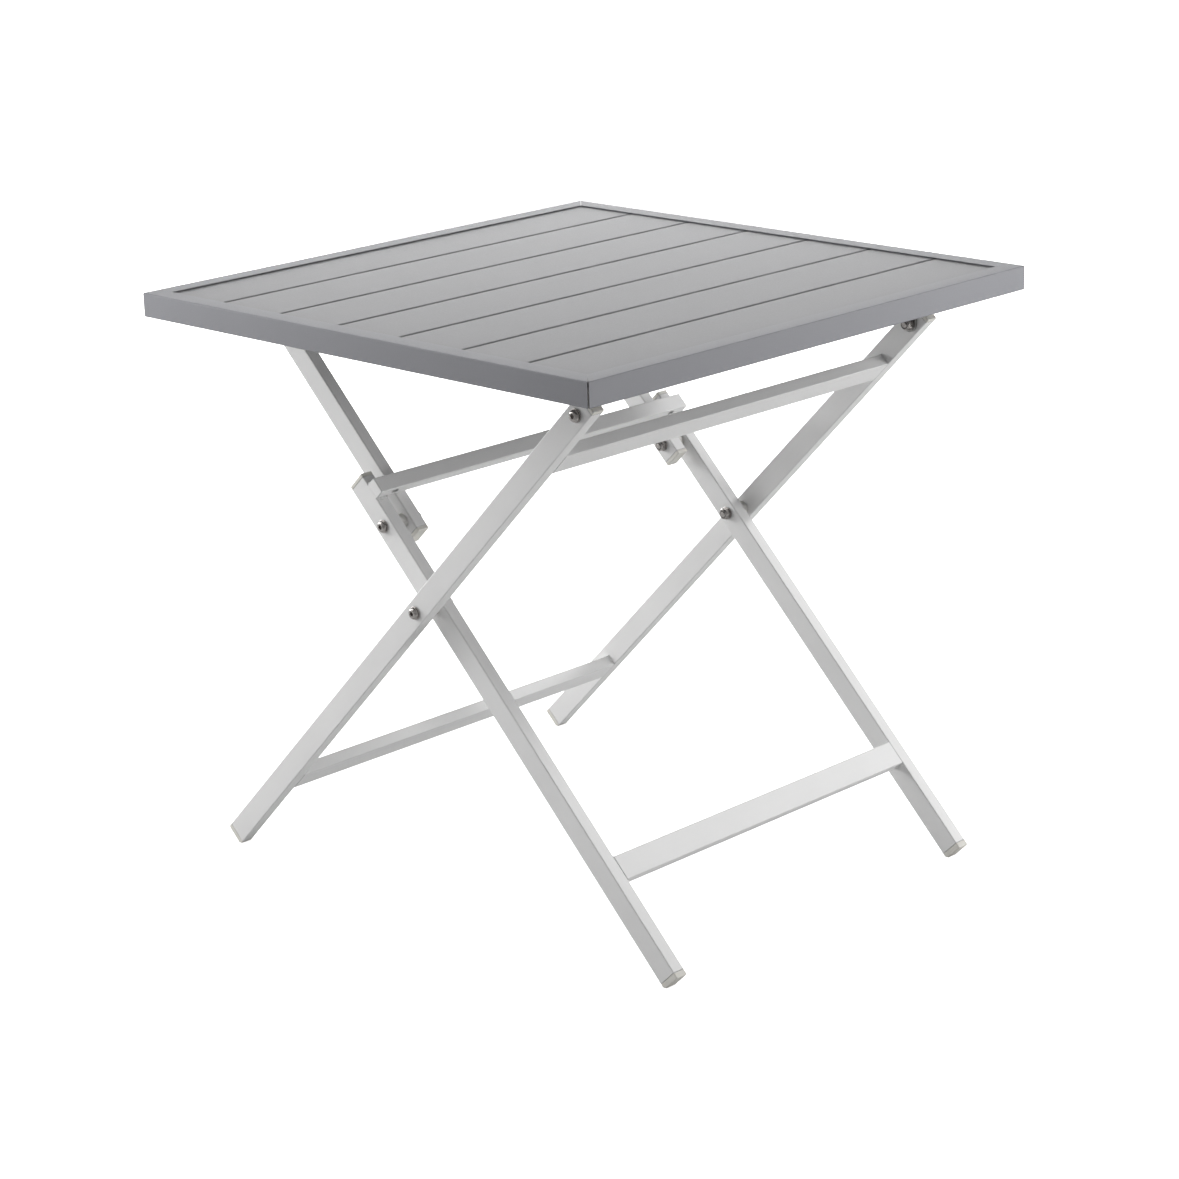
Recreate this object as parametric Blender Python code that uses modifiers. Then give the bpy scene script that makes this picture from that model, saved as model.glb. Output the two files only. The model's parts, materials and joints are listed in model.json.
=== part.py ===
"""Folding slatted picnic table: a slatted top on two crossed leg frames with a pair of locking struts.

X runs along the slats, Y across them and Z up. The origin is on the floor under the middle of the top.
All sizes are in metres. The table stands open; every moving frame hangs from an empty on its joint axis.
"""
import math

import bmesh
import bpy
from mathutils import Matrix, Vector

# ---------------------------------------------------------------- driving dimensions
TOP_LENGTH = 0.720            # along the slats, over the rails
TOP_WIDTH = 0.720             # across the slats, over the rails
TABLE_HEIGHT = 0.700          # floor to the top of the rails

RAIL_WIDTH = 0.0245
RAIL_HEIGHT = 0.028
RAIL_WALL = 0.0018
RAIL_LIP = 0.0012             # thickness of the lip that covers the slats' ends
RAIL_EDGE_RADIUS = 0.0025

SLAT_COUNT = 7
SLAT_THICKNESS = 0.0105
SLAT_GROOVE = 0.004           # open gap between two slats
SLAT_END_TUCK = 0.012         # how far a slat's end goes under the lip
SLAT_SIDE_TUCK = 0.007        # how far an outer slat's side goes under the lip
SLAT_WALL = 0.0013
SLAT_EDGE = 0.0008

BATTEN_WIDTH = 0.040
BATTEN_THICKNESS = 0.0115
BATTEN_WALL = 0.0015

TUBE_DEPTH = 0.028            # leg tube, in the plane of the folding motion
TUBE_BREADTH = 0.0165         # leg tube, along X
TUBE_WALL = 0.0015
TUBE_CORNER = 0.0020
LEG_INSET = 0.076             # outer face of the outer legs, in from the end of the top
FRAME_GAP = 0.0125            # between the side faces of neighbouring frames

PIVOT_INSET = 0.0945          # top pivots, in from the edge of the top
PIVOT_DROP = 0.064            # top pivots, below the top of the rails
FOOT_OUTSET = 0.001           # where a leg's middle line meets the floor, out from the edge of the top

LEG_A_PAST_PIVOT = 0.0231     # outer leg's end past the top pivot, with its cap
LEG_B_PAST_ELBOW = 0.0653     # inner leg's end past the elbow, with its cap
STRUT_PAST_PIVOT = 0.0231     # strut's end past the top pivot, with its cap
STRUT_PAST_ELBOW = 0.0236     # strut's end past the elbow, with its cap
TOP_CAP_THICKNESS = 0.0045
FOOT_CAP_THICKNESS = 0.0070
CAP_PLUG_LENGTH = 0.010
FOOT_FLAT_DEPTH = 0.0030      # cut off the foot's lower corner to stand flat

CROSSBAR_THICKNESS = 0.015
CROSSBAR_A_WIDTH = 0.032
CROSSBAR_A_FROM_PIVOT = 0.061     # pivot to the upper bar's near edge, down the outer leg
CROSSBAR_A_FROM_FOOT = 0.1292     # outer leg's foot to the lower bar's near edge
CROSSBAR_B_WIDTH = 0.0303
CROSSBAR_B_FROM_FOOT = 0.1234     # inner leg's foot to the lower bar's near edge
STOP_BAR_WIDTH = 0.0198
STOP_BAR_THICKNESS = 0.014
STOP_BAR_UP = 0.0291          # elbow to the near edge, up the inner leg

BRACKET_THICKNESS = 0.003
BRACKET_WIDTH = 0.020
BRACKET_BELOW_PIVOT = 0.010
BRACKET_FLANGE = 0.045
BRACKET_CORNER = 0.0098

BOLT_RADIUS = 0.004
BORE_CLEARANCE = 0.0003
WASHER_RADIUS = 0.0078
WASHER_THICKNESS = 0.0015
HEAD_RADIUS = 0.0068
HEAD_HEIGHT = 0.0042
SOCKET_ACROSS_CORNERS = 0.0058
SOCKET_DEPTH = 0.0026
NUT_ACROSS_CORNERS = 0.0150
NUT_THICKNESS = 0.0065
BOLT_PAST_NUT = 0.0010
SPACER_RADIUS = 0.009

CLEARANCE = 0.0003            # between pieces that touch
OPEN_PIVOT_CLEARANCE = 0.0005
ROUND_STEPS = 24

# ---------------------------------------------------------------- places worked out from them
FRAME_A_OUTER_X = TOP_LENGTH / 2 - LEG_INSET
PIVOT_HALF_SPAN = TOP_WIDTH / 2 - PIVOT_INSET
FOOT_HALF_SPAN = TOP_WIDTH / 2 + FOOT_OUTSET
PIVOT_Z = TABLE_HEIGHT - PIVOT_DROP
LEAN = math.atan2(FOOT_HALF_SPAN + PIVOT_HALF_SPAN, PIVOT_Z)    # a leg's angle from upright
CROSS_REACH = PIVOT_HALF_SPAN / math.sin(LEAN)                  # top pivot to the crossing
ELBOW_REACH = CROSS_REACH - PIVOT_HALF_SPAN                     # crossing to the elbow
STRUT_REACH = CROSS_REACH - ELBOW_REACH                         # elbow to the strut's top pivot
# a foot ends where the flat on its lower corner meets the floor
LEG_REACH = (PIVOT_Z + FOOT_FLAT_DEPTH - TUBE_DEPTH / 2 * math.sin(LEAN)) / math.cos(LEAN)

FRAME_B_OUTER_X = FRAME_A_OUTER_X - TUBE_BREADTH - FRAME_GAP
STRUT_OUTER_X = FRAME_B_OUTER_X - TUBE_BREADTH - FRAME_GAP
BORE_RADIUS = BOLT_RADIUS + BORE_CLEARANCE

SLAT_TOP_Z = TABLE_HEIGHT - RAIL_LIP - CLEARANCE
SLAT_BOTTOM_Z = SLAT_TOP_Z - SLAT_THICKNESS
BATTEN_TOP_Z = SLAT_BOTTOM_Z - CLEARANCE
BATTEN_BOTTOM_Z = BATTEN_TOP_Z - BATTEN_THICKNESS
FLANGE_TOP_Z = BATTEN_BOTTOM_Z - CLEARANCE
BRACKET_A_X = FRAME_A_OUTER_X - TUBE_BREADTH - CLEARANCE        # face against the outer leg
BRACKET_C_X = STRUT_OUTER_X - TUBE_BREADTH - CLEARANCE          # face against the strut
BATTEN_X = (BRACKET_A_X + BRACKET_C_X - BRACKET_THICKNESS) / 2

SIDES = (("left", -1), ("right", 1))


# ---------------------------------------------------------------- scene and materials
def clear_scene():
    for obj in list(bpy.data.objects):
        bpy.data.objects.remove(obj, do_unlink=True)


def new_collection(name):
    collection = bpy.data.collections.new(name)
    bpy.context.scene.collection.children.link(collection)
    return collection


def new_material(name, color, roughness, metallic):
    material = bpy.data.materials.new(name)
    material.use_nodes = True
    shader = material.node_tree.nodes["Principled BSDF"]
    shader.inputs["Base Color"].default_value = (*color, 1.0)
    shader.inputs["Roughness"].default_value = roughness
    shader.inputs["Metallic"].default_value = metallic
    return material


clear_scene()
PARTS = new_collection("folding_picnic_table")
TOOLS = new_collection("cutters")

RAIL_GREY = new_material("rail_grey", (0.36, 0.365, 0.385), 0.45, 0.30)
SLAT_GREY = new_material("slat_grey", (0.45, 0.455, 0.46), 0.45, 0.30)
LEG_WHITE = new_material("leg_white", (0.70, 0.70, 0.69), 0.50, 0.0)
CAP_WHITE = new_material("cap_white", (0.66, 0.65, 0.62), 0.60, 0.0)
STAINLESS = new_material("stainless", (0.55, 0.55, 0.54), 0.30, 1.0)
BRACKET_STEEL = new_material("bracket_steel", (0.30, 0.30, 0.30), 0.45, 0.9)
SPACER_NYLON = new_material("spacer_nylon", (0.62, 0.61, 0.58), 0.55, 0.0)


# ---------------------------------------------------------------- building blocks
def add_part(name, mesh, material, location=(0, 0, 0), rotation=(0, 0, 0), parent=None):
    """Put one named sub-part in the model."""
    if not mesh.materials:
        mesh.materials.append(material)
    part = bpy.data.objects.new(name, mesh)
    PARTS.objects.link(part)
    part.location = location
    part.rotation_euler = rotation
    part.parent = parent
    return part


def add_empty(name, location, lean):
    """An empty on a joint's axis, with its Z up the leg that it carries."""
    empty = bpy.data.objects.new(name, None)
    PARTS.objects.link(empty)
    empty.location = location
    empty.rotation_euler = (lean, 0, 0)
    return empty


def tool_object(name, mesh):
    tool = bpy.data.objects.new(name, mesh)
    TOOLS.objects.link(tool)
    tool.hide_render = True
    tool.display_type = "WIRE"
    return tool


def baked(source):
    """The evaluated mesh of a working object, with its loose caps welded; the object goes."""
    bpy.context.view_layer.update()
    graph = bpy.context.evaluated_depsgraph_get()
    mesh = bpy.data.meshes.new_from_object(source.evaluated_get(graph))
    mesh.transform(source.matrix_world)
    bpy.data.objects.remove(source, do_unlink=True)
    shape = bmesh.new()
    shape.from_mesh(mesh)
    bmesh.ops.remove_doubles(shape, verts=shape.verts, dist=1e-6)
    shape.to_mesh(mesh)
    shape.free()
    return mesh


def combined(mesh, operation, *others):
    """The mesh joined with, or cut by, other meshes."""
    base = tool_object("base", mesh)
    helpers = []
    for other in others:
        helper = tool_object("helper", other)
        helpers.append(helper)
        boolean = base.modifiers.new(operation.lower(), "BOOLEAN")
        boolean.operation = operation
        boolean.solver = "EXACT"
        boolean.object = helper
    result = baked(base)
    for helper in helpers:
        bpy.data.objects.remove(helper, do_unlink=True)
    return result


def extruded(loops, depth):
    """A flat outline, with any holes, extruded along Z about the XY plane."""
    curve = bpy.data.curves.new("outline", "CURVE")
    curve.dimensions = "2D"
    curve.fill_mode = "BOTH"
    curve.extrude = depth / 2
    for loop in loops:
        spline = curve.splines.new("POLY")
        spline.points.add(len(loop) - 1)
        for point, (x, y) in zip(spline.points, loop):
            point.co = (x, y, 0, 1)
        spline.use_cyclic_u = True
    return baked(tool_object("outline", curve))


def rounded_box(width, height, radius, steps=3, center=(0, 0)):
    """A rounded rectangle; radius is one value or one for each corner from (+, +), turning left."""
    radii = radius if isinstance(radius, tuple) else (radius,) * 4
    points = []
    for corner, (sx, sy) in enumerate(((1, 1), (-1, 1), (-1, -1), (1, -1))):
        r = radii[corner]
        cx = center[0] + sx * (width / 2 - r)
        cy = center[1] + sy * (height / 2 - r)
        if r == 0:
            points.append((cx, cy))
            continue
        for step in range(steps + 1):
            angle = math.pi / 2 * (corner + step / steps)
            points.append((cx + r * math.cos(angle), cy + r * math.sin(angle)))
    return points


def turned(profile, steps=ROUND_STEPS):
    """A turned piece about Z from (radius, z) points that run from the top to the bottom."""
    mesh = bpy.data.meshes.new("profile")
    edges = [(i, i + 1) for i in range(len(profile) - 1)]
    mesh.from_pydata([(r, 0, z) for r, z in profile], edges, [])
    piece = tool_object("profile", mesh)
    screw = piece.modifiers.new("turn", "SCREW")
    screw.steps = steps
    screw.render_steps = steps
    screw.use_merge_vertices = True
    screw.merge_threshold = 1e-6
    return baked(piece)


def round_hole(radius, depth, steps=ROUND_STEPS):
    """A cylinder along X for cutting a bore, with flats that stay outside the radius."""
    mesh = bpy.data.meshes.new("bore")
    shape = bmesh.new()
    outer = radius / math.cos(math.pi / steps)
    bmesh.ops.create_cone(shape, cap_ends=True, segments=steps, radius1=outer, radius2=outer,
                          depth=depth, matrix=Matrix.Rotation(math.pi / 2, 4, "Y"))
    shape.to_mesh(mesh)
    shape.free()
    return mesh


def hex_prism(across_corners, z_low, z_high):
    mesh = bpy.data.meshes.new("hex")
    shape = bmesh.new()
    radius = across_corners / 2
    bmesh.ops.create_cone(shape, cap_ends=True, segments=6, radius1=radius, radius2=radius,
                          depth=z_high - z_low, matrix=Matrix.Translation((0, 0, (z_low + z_high) / 2)))
    shape.to_mesh(mesh)
    shape.free()
    return mesh


def smooth(mesh):
    mesh.shade_smooth()
    mesh.set_sharp_from_angle(angle=math.radians(35))
    return mesh


# ---------------------------------------------------------------- tabletop
def rail_mesh(length):
    """One mitred rail along X with its outer face at Y = 0, a slot for the slats and a box below."""
    slot_low = SLAT_BOTTOM_Z - CLEARANCE - (TABLE_HEIGHT - RAIL_HEIGHT)
    slot_high = RAIL_HEIGHT - RAIL_LIP
    bar = rounded_box(RAIL_WIDTH, RAIL_HEIGHT, (0, RAIL_EDGE_RADIUS, RAIL_EDGE_RADIUS, 0),
                      center=(RAIL_WIDTH / 2, RAIL_HEIGHT / 2))
    lip_inner_edge = bar.index((RAIL_WIDTH, RAIL_HEIGHT))
    slot = [(RAIL_WIDTH, slot_low), (RAIL_WALL, slot_low), (RAIL_WALL, slot_high), (RAIL_WIDTH, slot_high)]
    outline = bar[lip_inner_edge:] + bar[:lip_inner_edge] + slot
    hollow_height = slot_low - 2 * RAIL_WALL
    hollow = rounded_box(RAIL_WIDTH - 2 * RAIL_WALL, hollow_height, 0,
                         center=(RAIL_WIDTH / 2, RAIL_WALL + hollow_height / 2))
    mesh = extruded((outline, hollow), 1.0)
    for vertex in mesh.vertices:
        inward, up, along = vertex.co
        reach = length / 2 - inward - CLEARANCE / 2
        vertex.co = (math.copysign(reach, along), inward, up)
    return mesh


def build_rails():
    long_rail = rail_mesh(TOP_LENGTH)
    short_rail = rail_mesh(TOP_WIDTH)
    low = TABLE_HEIGHT - RAIL_HEIGHT
    add_part("rail_front", long_rail, RAIL_GREY, (0, -TOP_WIDTH / 2, low))
    add_part("rail_back", long_rail, RAIL_GREY, (0, TOP_WIDTH / 2, low), (0, 0, math.pi))
    add_part("rail_left", short_rail, RAIL_GREY, (-TOP_LENGTH / 2, 0, low), (0, 0, -math.pi / 2))
    add_part("rail_right", short_rail, RAIL_GREY, (TOP_LENGTH / 2, 0, low), (0, 0, math.pi / 2))


def build_slats():
    span = TOP_WIDTH - 2 * RAIL_WIDTH + 2 * SLAT_SIDE_TUCK
    width = (span - (SLAT_COUNT - 1) * SLAT_GROOVE) / SLAT_COUNT
    length = TOP_LENGTH - 2 * RAIL_WIDTH + 2 * SLAT_END_TUCK
    cell = (width - 3 * SLAT_WALL) / 2
    loops = [rounded_box(width, SLAT_THICKNESS, SLAT_EDGE, steps=1)]
    for side in (-1, 1):
        loops.append(rounded_box(cell, SLAT_THICKNESS - 2 * SLAT_WALL, 0,
                                 center=(side * (cell + SLAT_WALL) / 2, 0)))
    mesh = extruded(loops, length)
    mesh.transform(Matrix(((0, 0, 1, 0), (1, 0, 0, 0), (0, 1, 0, 0), (0, 0, 0, 1))))
    for number in range(SLAT_COUNT):
        y = (number - (SLAT_COUNT - 1) / 2) * (width + SLAT_GROOVE)
        add_part(f"slat_{number + 1}", mesh, SLAT_GREY, (0, y, SLAT_TOP_Z - SLAT_THICKNESS / 2))


def build_battens():
    length = TOP_WIDTH - 2 * RAIL_WIDTH - 2 * CLEARANCE
    outer = rounded_box(BATTEN_WIDTH, BATTEN_THICKNESS, SLAT_EDGE, steps=1)
    inner = rounded_box(BATTEN_WIDTH - 2 * BATTEN_WALL, BATTEN_THICKNESS - 2 * BATTEN_WALL, 0)
    mesh = extruded((outer, inner), length)
    mesh.transform(Matrix.Rotation(math.pi / 2, 4, "X"))
    for side, sign in SIDES:
        add_part(f"batten_{side}", mesh, SLAT_GREY,
                 (sign * BATTEN_X, 0, BATTEN_TOP_Z - BATTEN_THICKNESS / 2))


def bracket_mesh():
    """An angle bracket: its tab's outer face at X = 0, its flange toward +X, its bore on the X axis."""
    flange_top = FLANGE_TOP_Z - PIVOT_Z
    height = flange_top + BRACKET_BELOW_PIVOT
    tab = extruded((rounded_box(BRACKET_WIDTH, height, (0, 0, BRACKET_CORNER, BRACKET_CORNER), steps=6,
                                center=(0, flange_top - height / 2)),), BRACKET_THICKNESS)
    tab.transform(Matrix(((0, 0, 1, BRACKET_THICKNESS / 2), (1, 0, 0, 0), (0, 1, 0, 0), (0, 0, 0, 1))))
    flange = extruded((rounded_box(BRACKET_FLANGE, BRACKET_WIDTH, 0, center=(BRACKET_FLANGE / 2, 0)),),
                      BRACKET_THICKNESS)
    flange.transform(Matrix.Translation((0, 0, flange_top - BRACKET_THICKNESS / 2)))
    whole = combined(tab, "UNION", flange)
    return combined(whole, "DIFFERENCE", round_hole(BORE_RADIUS, 4 * BRACKET_THICKNESS))


def build_brackets():
    mesh = bracket_mesh()
    for side, sign in SIDES:
        turn_in = 0 if sign < 0 else math.pi
        turn_out = math.pi - turn_in
        add_part(f"bracket_a_{side}", mesh, BRACKET_STEEL,
                 (sign * BRACKET_A_X, -PIVOT_HALF_SPAN, PIVOT_Z), (0, 0, turn_in))
        add_part(f"bracket_c_{side}", mesh, BRACKET_STEEL,
                 (sign * (BRACKET_C_X - BRACKET_THICKNESS), PIVOT_HALF_SPAN, PIVOT_Z), (0, 0, turn_out))


# ---------------------------------------------------------------- leg tubes, crossbars and caps
def tube_loops(width, height, wall, corner):
    inner = max(corner - wall, corner / 4)
    return (rounded_box(width, height, corner), rounded_box(width - 2 * wall, height - 2 * wall, inner, 2))


def leg_mesh(z_low, z_high, bores):
    """A leg tube along Z with its through bores along X at the given heights."""
    tube = extruded(tube_loops(TUBE_BREADTH, TUBE_DEPTH, TUBE_WALL, TUBE_CORNER), z_high - z_low)
    tube.transform(Matrix.Translation((0, 0, (z_low + z_high) / 2)))
    cutters = []
    for z in bores:
        cutter = round_hole(BORE_RADIUS, 2 * TUBE_BREADTH)
        cutter.transform(Matrix.Translation((0, 0, z)))
        cutters.append(cutter)
    return smooth(combined(tube, "DIFFERENCE", *cutters))


def crossbar_mesh(length, width, thickness):
    """A crossbar along X with its width along Z and its front face at Y = 0, toward -Y."""
    bar = extruded(tube_loops(thickness, width, TUBE_WALL, TUBE_CORNER), length)
    bar.transform(Matrix(((0, 0, 1, 0), (1, 0, 0, thickness / 2), (0, 1, 0, 0), (0, 0, 0, 1))))
    return smooth(bar)


def cap_mesh(thickness, corner_cut):
    """An end cap: a head from Z = 0 up with the tube's outline and a plug below it."""
    plug_edge = 2 * (TUBE_WALL + CLEARANCE)
    plug_overlap = 0.001
    head = extruded((rounded_box(TUBE_BREADTH, TUBE_DEPTH, TUBE_CORNER),), thickness)
    head.transform(Matrix.Translation((0, 0, thickness / 2)))
    shape = bmesh.new()
    shape.from_mesh(head)
    bmesh.ops.dissolve_limit(shape, angle_limit=0.001, verts=shape.verts, edges=shape.edges)
    rim = [edge for edge in shape.edges if all(vertex.co.z > thickness / 2 for vertex in edge.verts)]
    bmesh.ops.bevel(shape, geom=rim, offset=TUBE_CORNER * 0.8, segments=2, profile=0.5, affect="EDGES")
    if corner_cut:
        down = Vector((0, math.sin(LEAN), math.cos(LEAN)))
        corner = Vector((0, TUBE_DEPTH / 2, thickness))
        cut = bmesh.ops.bisect_plane(shape, geom=shape.verts[:] + shape.edges[:] + shape.faces[:],
                                     plane_co=corner - down * corner_cut, plane_no=down, clear_outer=True)
        rim = [item for item in cut["geom_cut"] if isinstance(item, bmesh.types.BMEdge)]
        bmesh.ops.edgeloop_fill(shape, edges=rim)
    shape.to_mesh(head)
    shape.free()
    plug = extruded((rounded_box(TUBE_BREADTH - plug_edge, TUBE_DEPTH - plug_edge, TUBE_CORNER / 4, 1),),
                    CAP_PLUG_LENGTH + plug_overlap)
    plug.transform(Matrix.Translation((0, 0, (plug_overlap - CAP_PLUG_LENGTH) / 2)))
    return smooth(combined(head, "UNION", plug))


# ---------------------------------------------------------------- fasteners, head or nut end toward +Z
def bolt_mesh(grip):
    """A button-head bolt on its washer; the washer sits on Z = 0 and the shank runs down."""
    under_head = WASHER_THICKNESS
    crown = under_head + HEAD_HEIGHT
    flat_radius = HEAD_RADIUS * 0.55
    profile = [(0, crown), (flat_radius, crown)]
    dome_steps = 4
    for step in range(1, dome_steps + 1):
        angle = math.pi / 2 * step / dome_steps
        profile.append((flat_radius + (HEAD_RADIUS - flat_radius) * math.sin(angle),
                        under_head + HEAD_HEIGHT * (0.25 + 0.75 * math.cos(angle))))
    profile += [(HEAD_RADIUS, under_head), (WASHER_RADIUS, under_head), (WASHER_RADIUS, 0)]
    profile += [(BOLT_RADIUS, 0), (BOLT_RADIUS, -grip), (0, -grip)]
    socket = hex_prism(SOCKET_ACROSS_CORNERS, crown - SOCKET_DEPTH, crown + SOCKET_DEPTH)
    return smooth(combined(turned(profile), "DIFFERENCE", socket))


def nut_mesh(stub=0):
    """A nut on its washer, which sits on Z = 0; a stub closes the bore and runs down from it."""
    high = WASHER_THICKNESS + NUT_THICKNESS
    washer = turned([(0, WASHER_THICKNESS), (WASHER_RADIUS, WASHER_THICKNESS), (WASHER_RADIUS, 0), (0, 0)])
    nut = combined(washer, "UNION", hex_prism(NUT_ACROSS_CORNERS, WASHER_THICKNESS / 2, high))
    if stub:
        end = high + BOLT_PAST_NUT
        nut = combined(nut, "UNION", turned([(0, end), (BOLT_RADIUS, end), (BOLT_RADIUS, -stub), (0, -stub)]))
    else:
        bore = round_hole(BORE_RADIUS, 4 * high)
        bore.transform(Matrix.Rotation(math.pi / 2, 4, "Y"))
        nut = combined(nut, "DIFFERENCE", bore)
    return smooth(nut)


def spacer_mesh(length):
    """A nylon spacer ring with its middle at Z = 0."""
    ring = turned([(0, length / 2), (SPACER_RADIUS, length / 2), (SPACER_RADIUS, -length / 2),
                   (0, -length / 2)])
    bore = round_hole(BORE_RADIUS, 2 * length)
    bore.transform(Matrix.Rotation(math.pi / 2, 4, "Y"))
    return smooth(combined(ring, "DIFFERENCE", bore))


def place_across(name, mesh, material, sign, x, y, z, outward, parent=None):
    """Put a turned piece on an X axis, its Z pointing away from the middle or toward it."""
    direction = sign if outward else -sign
    add_part(name, mesh, material, (sign * x, y, z), (0, direction * math.pi / 2, 0), parent)


# ---------------------------------------------------------------- moving frames
def place_caps(prefix, mesh, end, z, x, parent):
    """A cap on the left and right tube; the cap turns over for a lower end."""
    turns = {"top": (0, 0, 0), "lower_front": (math.pi, 0, 0), "lower_back": (0, math.pi, 0)}
    for side, sign in SIDES:
        add_part(f"{prefix}_{side}", mesh, CAP_WHITE, (sign * x, 0, z), turns[end], parent)


def build_frame_a():
    """The outer frame, from the front top pivots to the back feet. Its front is local -Y."""
    pivot = add_empty("pivot_frame_a", (0, -PIVOT_HALF_SPAN, PIVOT_Z), LEAN)
    tube_x = FRAME_A_OUTER_X - TUBE_BREADTH / 2
    top_z = LEG_A_PAST_PIVOT - TOP_CAP_THICKNESS
    foot_z = FOOT_CAP_THICKNESS - LEG_REACH
    leg = leg_mesh(foot_z + CLEARANCE, top_z - CLEARANCE, (0, -CROSS_REACH))
    bar = crossbar_mesh(2 * (FRAME_A_OUTER_X - TUBE_BREADTH - CLEARANCE), CROSSBAR_A_WIDTH,
                        CROSSBAR_THICKNESS)
    for side, sign in SIDES:
        add_part(f"leg_a_{side}", leg, LEG_WHITE, (sign * tube_x, 0, 0), parent=pivot)
    upper_z = -CROSSBAR_A_FROM_PIVOT - CROSSBAR_A_WIDTH / 2
    lower_z = CROSSBAR_A_FROM_FOOT + CROSSBAR_A_WIDTH / 2 - LEG_REACH
    for level, z in (("upper", upper_z), ("lower", lower_z)):
        add_part(f"crossbar_a_{level}", bar, LEG_WHITE, (0, -TUBE_DEPTH / 2, z), parent=pivot)
    place_caps("cap_a_top", cap_mesh(TOP_CAP_THICKNESS, 0), "top", top_z, tube_x, pivot)
    place_caps("foot_a", cap_mesh(FOOT_CAP_THICKNESS, FOOT_FLAT_DEPTH), "lower_front", foot_z, tube_x, pivot)
    return pivot


def build_frame_b():
    """The inner frame, from the elbow to the front feet. The face toward the top's front is local -Y."""
    elbow_y = ELBOW_REACH * math.sin(LEAN)
    elbow_z = PIVOT_Z - STRUT_REACH * math.cos(LEAN)
    elbow = add_empty("pivot_elbow", (0, elbow_y, elbow_z), -LEAN)
    tube_x = FRAME_B_OUTER_X - TUBE_BREADTH / 2
    top_z = LEG_B_PAST_ELBOW - TOP_CAP_THICKNESS
    foot_end_z = STRUT_REACH - LEG_REACH
    foot_z = foot_end_z + FOOT_CAP_THICKNESS
    leg = leg_mesh(foot_z + CLEARANCE, top_z - CLEARANCE, (0, -ELBOW_REACH))
    for side, sign in SIDES:
        add_part(f"leg_b_{side}", leg, LEG_WHITE, (sign * tube_x, 0, 0), parent=elbow)
    lower = crossbar_mesh(2 * (FRAME_B_OUTER_X - TUBE_BREADTH - CLEARANCE), CROSSBAR_B_WIDTH,
                          CROSSBAR_THICKNESS)
    add_part("crossbar_b_lower", lower, LEG_WHITE,
             (0, -TUBE_DEPTH / 2, foot_end_z + CROSSBAR_B_FROM_FOOT + CROSSBAR_B_WIDTH / 2), parent=elbow)
    stop = crossbar_mesh(2 * FRAME_B_OUTER_X, STOP_BAR_WIDTH, STOP_BAR_THICKNESS)
    add_part("crossbar_b_stop", stop, LEG_WHITE,
             (0, -TUBE_DEPTH / 2 - CLEARANCE - STOP_BAR_THICKNESS, STOP_BAR_UP + STOP_BAR_WIDTH / 2),
             parent=elbow)
    place_caps("cap_b_top", cap_mesh(TOP_CAP_THICKNESS, 0), "top", top_z, tube_x, elbow)
    place_caps("foot_b", cap_mesh(FOOT_CAP_THICKNESS, FOOT_FLAT_DEPTH), "lower_back", foot_z, tube_x, elbow)
    return elbow


def build_struts():
    """The two locking struts, from the back top pivots to the elbow."""
    pivot = add_empty("pivot_struts", (0, PIVOT_HALF_SPAN, PIVOT_Z), -LEAN)
    tube_x = STRUT_OUTER_X - TUBE_BREADTH / 2
    top_z = STRUT_PAST_PIVOT - TOP_CAP_THICKNESS
    low_z = TOP_CAP_THICKNESS - STRUT_REACH - STRUT_PAST_ELBOW
    leg = leg_mesh(low_z + CLEARANCE, top_z - CLEARANCE, (0, -STRUT_REACH))
    cap = cap_mesh(TOP_CAP_THICKNESS, 0)
    for side, sign in SIDES:
        add_part(f"strut_{side}", leg, LEG_WHITE, (sign * tube_x, 0, 0), parent=pivot)
    place_caps("cap_strut_top", cap, "top", top_z, tube_x, pivot)
    place_caps("cap_strut_low", cap, "lower_back", low_z, tube_x, pivot)


# ---------------------------------------------------------------- pivots
def build_top_pivot(name, y, outer_x):
    """Bolts and nuts that hang a tube on its bracket tab; they stay with the top."""
    grip = TUBE_BREADTH + BRACKET_THICKNESS + 2 * CLEARANCE
    shank = CLEARANCE + grip + WASHER_THICKNESS + NUT_THICKNESS + BOLT_PAST_NUT
    bolt = bolt_mesh(shank)
    nut = nut_mesh()
    for side, sign in SIDES:
        place_across(f"bolt_{name}_{side}", bolt, STAINLESS, sign, outer_x + CLEARANCE, y, PIVOT_Z, True)
        place_across(f"nut_{name}_{side}", nut, STAINLESS, sign, outer_x - grip, y, PIVOT_Z, False)


def build_crossing(frame_a, elbow):
    """The crossing pivot: a bolt end in the outer leg, and a nut, stub and spacer in the inner leg."""
    bolt = bolt_mesh(TUBE_BREADTH)
    inner_face = FRAME_A_OUTER_X - TUBE_BREADTH
    stub = CLEARANCE + TUBE_BREADTH + FRAME_GAP - OPEN_PIVOT_CLEARANCE
    nut = nut_mesh(stub)
    spacer_length = FRAME_GAP - CLEARANCE - OPEN_PIVOT_CLEARANCE
    spacer = spacer_mesh(spacer_length)
    for side, sign in SIDES:
        place_across(f"bolt_cross_{side}", bolt, STAINLESS, sign, FRAME_A_OUTER_X + CLEARANCE,
                     0, -CROSS_REACH, True, frame_a)
        place_across(f"nut_cross_{side}", nut, STAINLESS, sign,
                     FRAME_B_OUTER_X - TUBE_BREADTH - CLEARANCE, 0, -ELBOW_REACH, False, elbow)
        place_across(f"spacer_cross_{side}", spacer, SPACER_NYLON, sign,
                     inner_face - OPEN_PIVOT_CLEARANCE - spacer_length / 2, 0, -ELBOW_REACH, True, elbow)


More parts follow.
